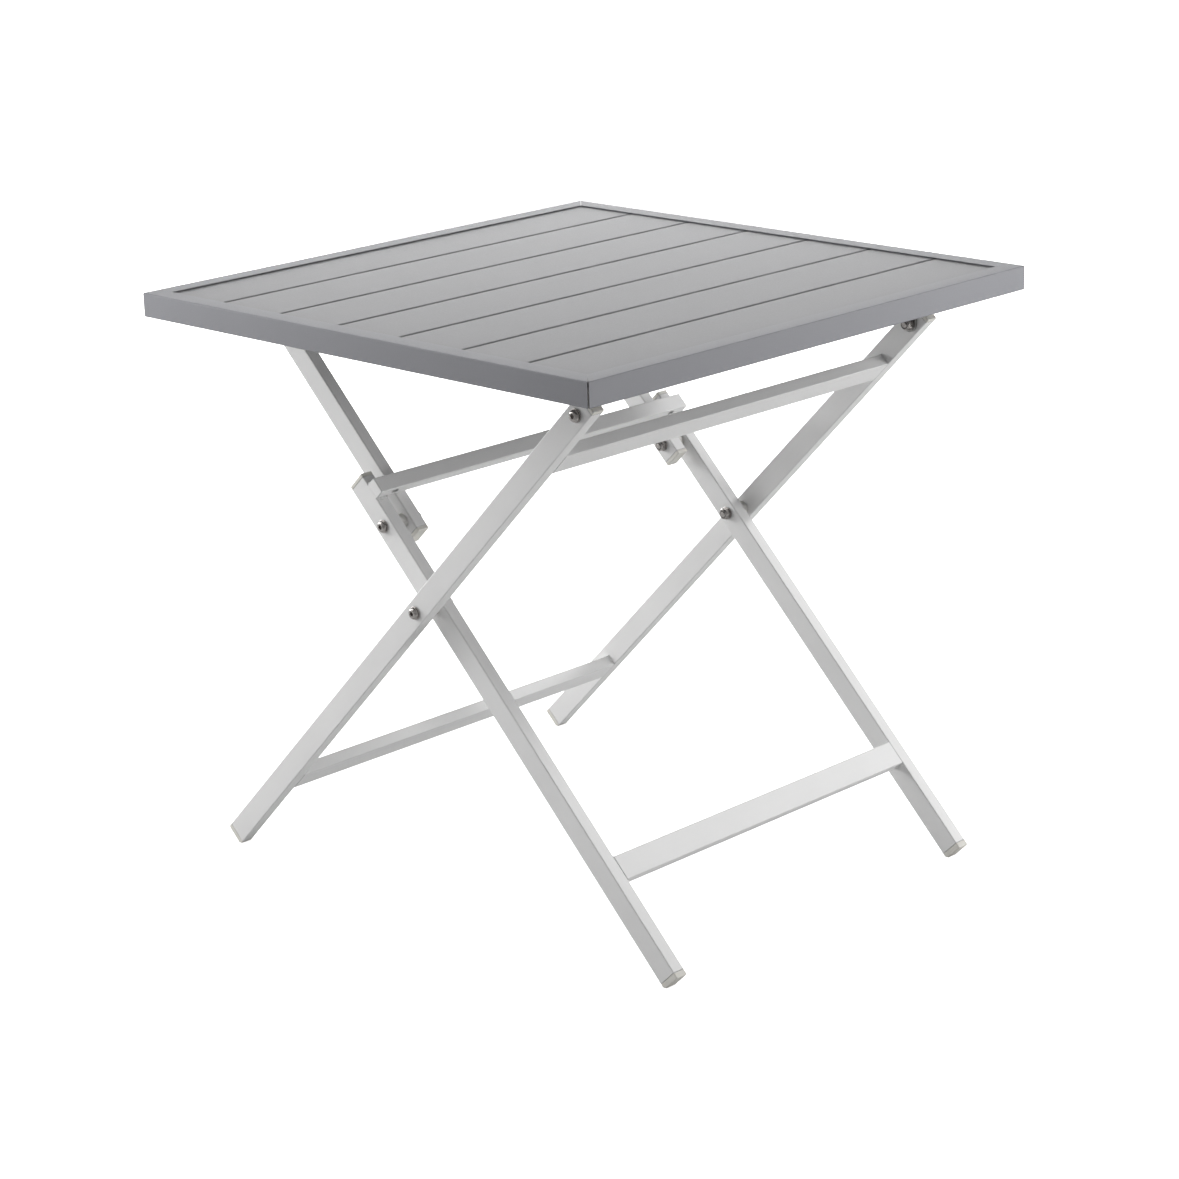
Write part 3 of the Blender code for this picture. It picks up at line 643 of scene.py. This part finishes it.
def make_brackets():
    """Bent angle brackets: the tab hangs at the pivot, the flange lies under the batten."""
    for kind, pivot, facing in zip(BRACKET_KINDS, (PIVOT_A, PIVOT_C), (-1, 1)):
        for side, sign in SIDES:
            node = f"bracket_{kind}_{side}"
            box = Box(node, "top")
            length, width, height = box.size
            t, bend = BRACKET_THICKNESS, BRACKET_BEND
            outer = [(0.0, 0.0)] + arc(bend + t, height - bend - t, bend + t, 1.0, -0.5) + [(length, height)]
            inner = [(t, 0.0)] + arc(bend + t, height - bend - t, bend, 1.0, -0.5) + [(length, height - t)]
            shape = prism(outer + inner[::-1], -width / 2, width / 2)
            shape.transform(SWAP_YZ)
            piece = to_object(f"angle_bracket_{kind}_{side}", shape, "bracket_steel")
            outline = rounded(width, height + 2 * CUT_MARGIN, BRACKET_CORNER, 8, (0, height / 2 + CUT_MARGIN))
            corner = prism(outline, -CUT_MARGIN, length + CUT_MARGIN)
            corner.transform(ALONG_X)
            carve(piece, "INTERSECT", corner)
            carve(piece, "DIFFERENCE", bore_cutter(2 * CUT_MARGIN, pivot.z - box.low.z))
            modifier = piece.modifiers.new("eased", "BEVEL")
            modifier.width = BRACKET_EASE
            modifier.segments = 2
            modifier.limit_method = "ANGLE"
            toward_high = facing * sign > 0
            x = box.low.x if toward_high else box.high.x
            turn = Matrix.Identity(4) if toward_high else HALF_TURN
            settle(piece, "top",
                   Matrix.Translation((x, box.center.y, box.low.z)) @ turn, [node])


def screw_shape():
    """A pan-head screw, its head toward -Z, its shank toward +Z."""
    profile = [(0, -SCREW_HEAD_HEIGHT), (0.0012, -0.00215), (0.0024, -0.0018), (0.0032, -0.0011),
               (SCREW_RADIUS, 0.0), (0.0019, 0.0), (0.0019, 0.006), (0.0005, 0.0078), (0, 0.008)]
    return turned(profile, 24)


def screw_places():
    """Up through the battens into every slat, and through the flanges into the battens."""
    flanges = [Box(f"bracket_{kind}_{side}", "top") for kind in BRACKET_KINDS for side, _ in SIDES]

    def covered(x, y, z):
        return any(box.low.y - FLANGE_CLEARANCE < y < box.high.y + FLANGE_CLEARANCE
                   and box.low.x < x < box.high.x and z > box.high.z - CONTACT for box in flanges)

    places = []
    for side, _ in SIDES:
        batten = Box(f"batten_{side}", "top")
        for number in SLATS:
            places.append((batten.center.x, Box(f"slat_{number}", "top").center.y, batten.low.z))
        for kind in BRACKET_KINDS:
            flange = Box(f"bracket_{kind}_{side}", "top")
            at_high = (side == "left") == (kind == "a")
            for offset in FLANGE_SCREWS:
                x = flange.high.x - offset if at_high else flange.low.x + offset
                places.append((x, flange.center.y, flange.high.z - BRACKET_THICKNESS))
    return [place for place in places if not covered(*place)]


def make_screws():
    """Screws with a cross recess that share one mesh."""
    model = to_object("screw_head", screw_shape(), "stainless")
    for turn in (0.0, math.pi / 2):
        slot = bmesh.new()
        bmesh.ops.create_cube(slot, size=1.0)
        slot.transform(Matrix.Translation((0, 0, -SCREW_HEAD_HEIGHT))
                       @ Matrix.Rotation(turn + SCREW_TURN, 4, "Z") @ Matrix.Diagonal((*SCREW_RECESS, 1.0)))
        carve(model, "DIFFERENCE", slot)
    for number, place in enumerate(screw_places(), 1):
        piece = model if number == 1 else linked(f"screw_{number}", model.data)
        settle(piece, "top", Matrix.Translation(place))


# ---------------------------------------------------------------- tubes, crossbars, beads and caps
def make_leg(name, node, body, bores):
    box = Box(node, body)
    shape = eased_tube(box.size.x, box.size.y, TUBE_WALL, TUBE_RADIUS, box.low.z, box.high.z)
    piece = to_object(name, shape, "leg_white")
    carve(piece, "DIFFERENCE", *(bore_cutter(3 * box.size.x, z) for z in bores))
    settle(piece, body, Matrix.Translation((box.center.x, box.center.y, 0)), [node])


def ripple(index, spacing):
    return 1.0 + BEAD_RIPPLE * math.cos(2 * math.pi * index * spacing / BEAD_PITCH)


def make_end_bead(name, body, bar, sign):
    """The weld where a crossbar's end meets a leg: full on three sides, dressed flush on the front."""
    outline = rounded(bar.size.y, bar.size.z, TUBE_RADIUS, 6, (bar.center.y, bar.center.z))
    points = []
    for first, second in zip(outline, outline[1:] + outline[:1]):
        steps = max(1, int((second - first).length / END_BEAD_SPACING))
        points += [first.lerp(second, step / steps) for step in range(steps)]
    middle = Vector((bar.center.y, bar.center.z))
    half = Vector((bar.size.y / 2 - TUBE_RADIUS, bar.size.z / 2 - TUBE_RADIUS))
    shape = bmesh.new()
    rings = []
    for index, point in enumerate(points):
        local = point - middle
        core = Vector((max(-half.x, min(half.x, local.x)), max(-half.y, min(half.y, local.y))))
        outward = Vector((0, *(local - core).normalized()))
        start = Vector((sign * (bar.high.x - END_BEAD_INSET), point.x, point.y)) - outward * END_BEAD_SINK
        full = min(1.0, max(0.0, (point.x - bar.low.y) / bar.size.y * END_BEAD_FADE))
        radius = BEAD_FLUSH_RADIUS + (BEAD_RADIUS - BEAD_FLUSH_RADIUS) * full
        radius *= ripple(index, END_BEAD_SPACING)
        loop = []
        for side in range(BEAD_SIDES):
            angle = 2 * math.pi * side / BEAD_SIDES
            offset = outward * (math.cos(angle) * radius) + Vector((math.sin(angle) * radius, 0, 0))
            loop.append(shape.verts.new(start + offset))
        rings.append(loop)
    skin(shape, rings)
    bridge(shape, rings[-1], rings[0])
    settle(to_object(name, shape, "leg_white", BEAD_SMOOTH_ANGLE), body)


def make_side_bead(name, body, x_low, x_high, y, z):
    """A straight weld along X in the corner between two faces."""
    steps = int((x_high - x_low) / SIDE_BEAD_SPACING)
    shape = bmesh.new()
    rings = []
    for index in range(steps + 1):
        x = x_low + (x_high - x_low) * index / steps
        ease = min(1.0, min(index, steps - index) / 4 + 0.25)
        radius = STOP_BEAD_RADIUS * SIDE_BEAD_GAIN * ripple(index, SIDE_BEAD_SPACING) * ease
        loop = []
        for side in range(BEAD_SIDES):
            angle = 2 * math.pi * side / BEAD_SIDES
            loop.append(shape.verts.new((x, y + radius * math.cos(angle), z + radius * math.sin(angle))))
        rings.append(loop)
    skin(shape, rings)
    close(shape, rings)
    settle(to_object(name, shape, "leg_white", BEAD_SMOOTH_ANGLE), body)


def make_crossbar(name, node, body, leg_node):
    """A crossbar whose cut ends reach the legs, with a weld bead round each end."""
    box = Box(node, body)
    leg = Box(leg_node, body)
    reach = min(abs(leg.low.x), abs(leg.high.x))
    outer = rounded(box.size.y, box.size.z, TUBE_RADIUS)
    inner = rounded(box.size.y - 2 * TUBE_WALL, box.size.z - 2 * TUBE_WALL, CROSSBAR_INNER_RADIUS)
    shape = tube(outer, inner, (-reach, -reach / 2, 0.0, reach / 2, reach))
    shape.transform(ALONG_X)
    piece = to_object(name, shape, "leg_white")
    settle(piece, body, Matrix.Translation((0, box.center.y, box.center.z)), [node])
    for side, sign in SIDES:
        make_end_bead(f"{name}_weld_{side}", body, box, sign)


def stop_plug_shape(depth, height):
    """The plate that closes an end of the stop bar, with its outer edge eased."""
    outline = rounded(depth - STOP_PLUG_PLAY, height - STOP_PLUG_PLAY, TUBE_RADIUS)
    face = rounded(depth - STOP_PLUG_TAPER, height - STOP_PLUG_TAPER, TUBE_RADIUS - STOP_PLUG_EASE)
    shape = bmesh.new()
    rings = [ring(shape, outline, 0.0), ring(shape, outline, STOP_PLUG_EASE)]
    rings.append(ring(shape, face, STOP_PLUG_DEPTH))
    skin(shape, rings)
    close(shape, rings)
    shape.transform(ALONG_X)
    return shape


def make_stop_bar():
    """The bar across the inner legs that lies on the struts: plugged ends, drain slots and welds."""
    body = "frame_b"
    box = Box("crossbar_b_stop", body)
    leg_face = Box("leg_b_left", body).low.y
    shape = eased_tube(box.size.y, box.size.z, TUBE_WALL, TUBE_RADIUS, box.low.x, box.high.x)
    shape.transform(ALONG_X)
    piece = to_object("stop_bar", shape, "leg_white")
    slots = []
    for _, sign in SIDES:
        slot = prism(rounded(*STOP_SLOT, 6), -STOP_SLOT_DEPTH, STOP_SLOT_DEPTH)
        slot.transform(Matrix.Translation((sign * (box.high.x - STOP_SLOT_INSET), 0, -box.size.z / 2)))
        slots.append(slot)
    carve(piece, "DIFFERENCE", *slots)
    settle(piece, body, Matrix.Translation((0, box.center.y, box.center.z)), ["crossbar_b_stop"])
    for side, sign in SIDES:
        cap = to_object(f"stop_bar_end_{side}", stop_plug_shape(box.size.y, box.size.z), "leg_white")
        turn = Matrix.Identity(4) if sign > 0 else HALF_TURN
        settle(cap, body,
               Matrix.Translation((sign * (box.high.x - STOP_PLUG_SINK), box.center.y, box.center.z)) @ turn)
        leg = Box(f"leg_b_{side}", body)
        for place, z in (("low", box.low.z - BEAD_OFFSET), ("high", box.high.z + BEAD_OFFSET)):
            make_side_bead(f"stop_bar_weld_{place}_{side}", body, leg.low.x + SIDE_BEAD_INSET,
                           leg.high.x - SIDE_BEAD_INSET, leg_face - BEAD_OFFSET, z)
        # the bar's end is welded to the leg and dressed flush with its outer face
        outline = rounded(2 * (TUBE_RADIUS + STOP_SEAM_PROUD), box.size.z - TUBE_RADIUS, STOP_SEAM_RADIUS, 2)
        seam = prism(outline, -STOP_SEAM_DEPTH / 2, STOP_SEAM_DEPTH / 2)
        seam.transform(ALONG_X)
        outer_x = leg.high.x if sign > 0 else leg.low.x
        x = outer_x - sign * (STOP_SEAM_DEPTH / 2 + STOP_SEAM_GAP)
        settle(to_object(f"stop_bar_seam_{side}", seam, "leg_white"), body,
               Matrix.Translation((x, leg_face, box.center.z)))


def cap_shape(box, floor_cut):
    """A push-in cap with the tube's outline: a head with a domed rim above, a tapered plug below.

    Local Z is the tube's. A foot is cut level by the plane (point, normal) of the floor.
    """
    width, depth = box.size.x, box.size.y
    head = box.size.z - PLUG_LENGTH
    shape = bmesh.new()
    rings = [ring(shape, rounded(width - CAP_UNDERCUT, depth - CAP_UNDERCUT, TUBE_RADIUS), 0.0),
             ring(shape, rounded(width, depth, TUBE_RADIUS), CAP_UNDERCUT)]
    for step in range(5):
        angle = math.pi / 2 * step / 4
        shrink = CAP_EDGE_RADIUS * (1 - math.cos(angle))
        z = head - CAP_EDGE_RADIUS + CAP_EDGE_RADIUS * math.sin(angle)
        rings.append(ring(shape, rounded(width - 2 * shrink, depth - 2 * shrink, TUBE_RADIUS), z))
    skin(shape, rings)
    shape.faces.new(rings[-1])
    width, depth = width - 2 * CAP_WALL_GAP, depth - 2 * CAP_WALL_GAP
    plug = [ring(shape, rounded(width, depth, PLUG_RADIUS), z) for z in (0.0, PLUG_TIP - PLUG_LENGTH)]
    plug.append(ring(shape, rounded(width - PLUG_TAPER, depth - PLUG_TAPER, PLUG_TIP_RADIUS), -PLUG_LENGTH))
    skin(shape, [rings[0], *plug])
    shape.faces.new(plug[-1])
    if floor_cut is not None:
        point, normal = floor_cut
        cut = bmesh.ops.bisect_plane(shape, geom=shape.verts[:] + shape.edges[:] + shape.faces[:],
                                     plane_co=point, plane_no=normal, clear_outer=True)
        rim = [item for item in cut["geom_cut"] if isinstance(item, bmesh.types.BMEdge)]
        bmesh.ops.edgeloop_fill(shape, edges=rim)
    return shape


def make_cap(name, node, body, downward=False, foot=False):
    box = Box(node, body)
    head = box.size.z - PLUG_LENGTH
    seat = box.low.z + head if downward else box.high.z - head
    turn = Matrix.Rotation(math.pi, 4, "X") if downward else Matrix.Identity(4)
    place = Matrix.Translation((box.center.x, box.center.y, seat)) @ turn
    floor_cut = None
    if foot:
        to_cap = (PLACES[body] @ place).inverted()
        floor_cut = (to_cap @ Vector((0, 0, CAD_LOW.z)), to_cap.to_3x3() @ Vector((0, 0, -1)))
    settle(to_object(name, cap_shape(box, floor_cut), "cap_white"), body, place, [node])


# ---------------------------------------------------------------- fasteners
def washer_shape():
    r, t, bore, ease = WASHER_RADIUS, WASHER_THICKNESS, WASHER_BORE, WASHER_EASE
    return turned([(bore, 0.0), (r - ease, 0.0), (r, ease), (r, t - ease), (r - ease * 1.5, t),
                   (bore + ease, t), (bore, t - ease), (bore, 0.0)])


def thread(low, high):
    """Profile points of a threaded length from high down to low."""
    points = []
    z = high
    while z > low + THREAD_PITCH:
        points += [(BOLT_RADIUS, z), (BOLT_RADIUS - THREAD_DEPTH, z - THREAD_PITCH / 2)]
        z -= THREAD_PITCH
    return points


def bolt_shape(length, threaded):
    """A button-head bolt: the washer's seat is Z = 0, the head above, the shank down to -length."""
    seat = WASHER_THICKNESS
    profile = [(0, seat + HEAD_HEIGHT), (HEAD_FLAT, seat + HEAD_HEIGHT)]
    for step in range(1, 9):
        angle = math.pi / 2 * step / 8
        profile.append((HEAD_FLAT + (HEAD_RADIUS - HEAD_FLAT) * math.sin(angle),
                        seat + HEAD_HEIGHT * (HEAD_RIM + (1 - HEAD_RIM) * math.cos(angle))))
    profile += [(HEAD_RADIUS, seat + 0.0003), (HEAD_RADIUS - 0.0004, seat), (BOLT_RADIUS, seat)]
    if threaded:
        profile.append((BOLT_RADIUS, -length + threaded))
        profile += thread(-length + THREAD_RUNOUT, -length + threaded)
    profile += [(BOLT_RADIUS - 0.0001, -length + BOLT_TIP), (BOLT_RADIUS - BOLT_TIP, -length), (0, -length)]
    return turned(profile)


def make_bolt(name, node, body, socket_turn, threaded=0.0):
    """A bolt and its washer on a pivot; the CAD bolt's box gives the place and the length."""
    box = Box(node, body)
    outward = 1 if box.center.x > 0 else -1
    crown = WASHER_THICKNESS + HEAD_HEIGHT
    head_end = box.high.x if outward > 0 else box.low.x
    length = box.size.x - WASHER_THICKNESS - HEAD_HEIGHT
    piece = to_object(name, bolt_shape(length, threaded), "stainless")
    socket = prism(hexagon(SOCKET_ACROSS, socket_turn), crown - SOCKET_DEPTH, crown + SOCKET_MARGIN)
    carve(piece, "DIFFERENCE", socket)
    turn = Matrix.Rotation(outward * math.pi / 2, 4, "Y")
    place = Matrix.Translation((head_end - outward * crown, box.center.y, box.center.z)) @ turn
    settle(piece, body, place, [node])
    settle(to_object(f"{name}_washer", washer_shape(), "stainless"), body, place)


def nut_shape():
    """A locking nut seated at Z = 0: chamfered blank for the hexagon, turned collar and bore."""
    bore, corner, top = BOLT_RADIUS + 0.0002, NUT_ACROSS / 2 + 0.0003, NUT_THICKNESS
    hexed = top * NUT_HEX_SHARE
    return turned([(bore, 0.0), (NUT_ACROSS / 2 - 0.0006, 0.0), (corner, 0.0007), (corner, hexed - 0.0007),
                   (NUT_ACROSS / 2 - 0.0009, hexed), (0.0061, hexed), (0.0058, top - 0.0007), (0.0052, top),
                   (BOLT_RADIUS + 0.0009, top), (bore, top - 0.0008), (bore, 0.0)])


def make_nut(name, node, body, nut_turn):
    """A nut and its washer toward the middle; a node with a stub also gets the threaded stub."""
    box = Box(node, body)
    outward = 1 if box.center.x > 0 else -1
    inner_end = box.low.x if outward > 0 else box.high.x
    has_stub = box.size.x > STUB_NODE_LENGTH
    top = WASHER_THICKNESS + NUT_THICKNESS
    seat = inner_end + outward * (STUB_BEYOND if has_stub else 0.0) + outward * top
    piece = to_object(name, nut_shape(), "stainless")
    carve(piece, "INTERSECT", prism(hexagon(NUT_ACROSS, nut_turn), -NUT_MARGIN, NUT_THICKNESS + NUT_MARGIN))
    turn = Matrix.Rotation(-outward * math.pi / 2, 4, "Y")
    place = Matrix.Translation((seat, box.center.y, box.center.z)) @ turn
    settle(piece, body, place @ Matrix.Translation((0, 0, WASHER_THICKNESS)), [node])
    settle(to_object(f"{name}_washer", washer_shape(), "stainless"), body, place)
    if has_stub:
        high = top + STUB_BEYOND
        length = box.size.x - high
        profile = [(0, high), (BOLT_RADIUS - 0.0007, high), (BOLT_RADIUS, high - 0.0007)]
        profile += thread(0.0, high - 0.0008) + [(BOLT_RADIUS, 0.0), (BOLT_RADIUS, -length), (0, -length)]
        settle(to_object(f"{name}_stub", turned(profile, 40), "stainless"), body, place)


def make_spacer(name, node, body):
    box = Box(node, body)
    radius, half, ease = box.size.y / 2, box.size.x / 2, SPACER_EASE
    shape = turned([(BORE_RADIUS, -half), (radius - ease, -half), (radius, -half + ease),
                    (radius, half - ease), (radius - ease, half), (BORE_RADIUS, half), (BORE_RADIUS, -half)])
    shape.transform(Matrix.Rotation(math.pi / 2, 4, "Y"))
    piece = to_object(name, shape, "spacer_nylon")
    settle(piece, body, Matrix.Translation(box.center), [node])


# ---------------------------------------------------------------- assemble
def make_frames():
    crossing_a = Box("bolt_cross_left", "frame_a").center.z
    crossing_b = Box("nut_cross_left", "frame_b").center.z
    for side, _ in SIDES:
        make_leg(f"outer_leg_{side}", f"leg_a_{side}", "frame_a", (0.0, crossing_a))
        make_leg(f"inner_leg_{side}", f"leg_b_{side}", "frame_b", (0.0, crossing_b))
        make_leg(f"lock_strut_{side}", f"strut_{side}", "struts", (0.0, -STRUT_LINE.length))
        make_cap(f"outer_leg_cap_{side}", f"cap_a_top_{side}", "frame_a")
        make_cap(f"outer_leg_foot_{side}", f"foot_a_{side}", "frame_a", downward=True, foot=True)
        make_cap(f"inner_leg_cap_{side}", f"cap_b_top_{side}", "frame_b")
        make_cap(f"inner_leg_foot_{side}", f"foot_b_{side}", "frame_b", downward=True, foot=True)
        make_cap(f"lock_strut_cap_{side}", f"cap_strut_top_{side}", "struts")
        make_cap(f"lock_strut_end_{side}", f"cap_strut_low_{side}", "struts", downward=True)
    make_crossbar("outer_bar_upper", "crossbar_a_upper", "frame_a", "leg_a_left")
    make_crossbar("outer_bar_lower", "crossbar_a_lower", "frame_a", "leg_a_left")
    make_crossbar("inner_bar_lower", "crossbar_b_lower", "frame_b", "leg_b_left")
    make_stop_bar()


def make_pivots():
    for side, _ in SIDES:
        spin = SPINS[side]
        make_bolt(f"top_bolt_a_{side}", f"bolt_top_a_{side}", "top", spin, TOP_THREAD)
        make_nut(f"top_nut_a_{side}", f"nut_top_a_{side}", "top", spin + 0.3)
        make_bolt(f"top_bolt_c_{side}", f"bolt_top_c_{side}", "top", spin + 0.5, TOP_THREAD)
        make_nut(f"top_nut_c_{side}", f"nut_top_c_{side}", "top", spin)
        make_bolt(f"cross_bolt_{side}", f"bolt_cross_{side}", "frame_a", spin + 0.2)
        make_nut(f"cross_nut_{side}", f"nut_cross_{side}", "frame_b", spin + 0.1)
        make_spacer(f"cross_spacer_{side}", f"spacer_cross_{side}", "frame_b")
        make_bolt(f"elbow_bolt_{side}", f"bolt_elbow_{side}", "frame_b", spin + 0.7, ELBOW_THREAD)
        make_nut(f"elbow_nut_{side}", f"nut_elbow_{side}", "frame_b", spin + 0.4)
        make_spacer(f"elbow_spacer_{side}", f"spacer_elbow_{side}", "frame_b")


# ---------------------------------------------------------------- camera, light and floor
def make_camera():
    cos_e, sin_e = math.cos(CAMERA_ELEVATION), math.sin(CAMERA_ELEVATION)
    back = Vector((math.sin(CAMERA_AZIMUTH) * cos_e, -math.cos(CAMERA_AZIMUTH) * cos_e, sin_e))
    right = (-back).cross(Vector((0, 0, 1))).normalized()
    up = right.cross(-back)
    cos_r, sin_r = math.cos(CAMERA_ROLL), math.sin(CAMERA_ROLL)
    tilted_right = right * cos_r + up * sin_r
    tilted_up = up * cos_r - right * sin_r
    data = bpy.data.cameras.new("camera")
    data.lens = CAMERA_LENS
    data.sensor_width = CAMERA_SENSOR
    data.clip_end = CAMERA_CLIP_END
    camera = linked("camera", data)
    turn = Matrix((tilted_right, tilted_up, back)).transposed().to_4x4()
    camera.matrix_world = Matrix.Translation(CAMERA_TARGET + back * CAMERA_DISTANCE) @ turn
    bpy.context.scene.camera = camera


def make_light(name, place, target, size, energy):
    data = bpy.data.lights.new(name, "AREA")
    data.shape = "RECTANGLE"
    data.size, data.size_y = size
    data.energy = energy
    light = linked(name, data)
    light.location = place
    light.rotation_mode = "QUATERNION"
    light.rotation_quaternion = (Vector(target) - Vector(place)).to_track_quat("-Z", "Y")
    light.visible_camera = False


def make_world():
    """Even white for the backdrop, softer and greyer for what lights the table."""
    world = bpy.data.worlds.new("studio")
    bpy.context.scene.world = world
    world.use_nodes = True
    nodes, link = world.node_tree.nodes, world.node_tree.links.new
    nodes.clear()
    lit = nodes.new("ShaderNodeBackground")
    lit.inputs["Color"].default_value = WHITE
    direction = nodes.new("ShaderNodeTexCoord")
    tilt = nodes.new("ShaderNodeVectorMath")
    tilt.operation = "DOT_PRODUCT"
    tilt.inputs[1].default_value = SKY_TILT
    level = nodes.new("ShaderNodeMath")
    level.operation = "ADD"
    level.inputs[1].default_value = SKY_STRENGTH
    link(direction.outputs["Generated"], tilt.inputs[0])
    link(tilt.outputs["Value"], level.inputs[0])
    link(level.outputs["Value"], lit.inputs["Strength"])
    seen = nodes.new("ShaderNodeBackground")
    seen.inputs["Color"].default_value = WHITE
    seen.inputs["Strength"].default_value = 1.0
    path = nodes.new("ShaderNodeLightPath")
    mixer = nodes.new("ShaderNodeMixShader")
    out = nodes.new("ShaderNodeOutputWorld")
    link(path.outputs["Is Camera Ray"], mixer.inputs["Fac"])
    link(lit.outputs["Background"], mixer.inputs[1])
    link(seen.outputs["Background"], mixer.inputs[2])
    link(mixer.outputs["Shader"], out.inputs["Surface"])


def floor_paint():
    """Near white to the camera, dimmer in what it sends back to the table, and clear from below."""
    paint = Paint("studio_white")
    nodes, link, shader = paint.nodes, paint.link, paint.shader
    paint.feed(paint.mix(paint.remap(paint.noise(3.0), 0.0, 1.0), *FLOOR_SEEN), "Base Color")
    shader.inputs["Roughness"].default_value = 0.9
    shader.inputs["Specular IOR Level"].default_value = 0.1
    shader.inputs["Emission Color"].default_value = WHITE
    shader.inputs["Emission Strength"].default_value = FLOOR_SEEN_GLOW
    dim = nodes.new("ShaderNodeBsdfDiffuse")
    dim.inputs["Color"].default_value = FLOOR_BOUNCE
    glow = nodes.new("ShaderNodeEmission")
    glow.inputs["Color"].default_value = WHITE
    glow.inputs["Strength"].default_value = FLOOR_GLOW
    bounce = nodes.new("ShaderNodeAddShader")
    link(dim.outputs["BSDF"], bounce.inputs[0])
    link(glow.outputs["Emission"], bounce.inputs[1])
    clear = nodes.new("ShaderNodeBsdfTransparent")
    path = nodes.new("ShaderNodeLightPath")
    geometry = nodes.new("ShaderNodeNewGeometry")
    seen = nodes.new("ShaderNodeMixShader")
    side = nodes.new("ShaderNodeMixShader")
    link(path.outputs["Is Camera Ray"], seen.inputs["Fac"])
    link(bounce.outputs["Shader"], seen.inputs[1])
    link(shader.outputs["BSDF"], seen.inputs[2])
    link(geometry.outputs["Backfacing"], side.inputs["Fac"])
    link(seen.outputs["Shader"], side.inputs[1])
    link(clear.outputs["BSDF"], side.inputs[2])
    link(side.outputs["Shader"], nodes["Material Output"].inputs["Surface"])
    return paint.material


def make_floor():
    shape = bmesh.new()
    bmesh.ops.create_grid(shape, x_segments=8, y_segments=8, size=FLOOR_REACH)
    mesh = bpy.data.meshes.new("studio_floor")
    shape.to_mesh(mesh)
    shape.free()
    mesh.materials.append(floor_paint())
    floor = linked("studio_floor", mesh)
    floor.location = (0, 0, CAD_LOW.z - FLOOR_DROP)


make_rails()
make_slats()
make_battens()
make_brackets()
make_screws()
make_frames()
make_pivots()
make_camera()
make_world()
make_floor()
for light in LIGHTS:
    make_light(*light)
bpy.context.scene.view_settings.view_transform = "Standard"
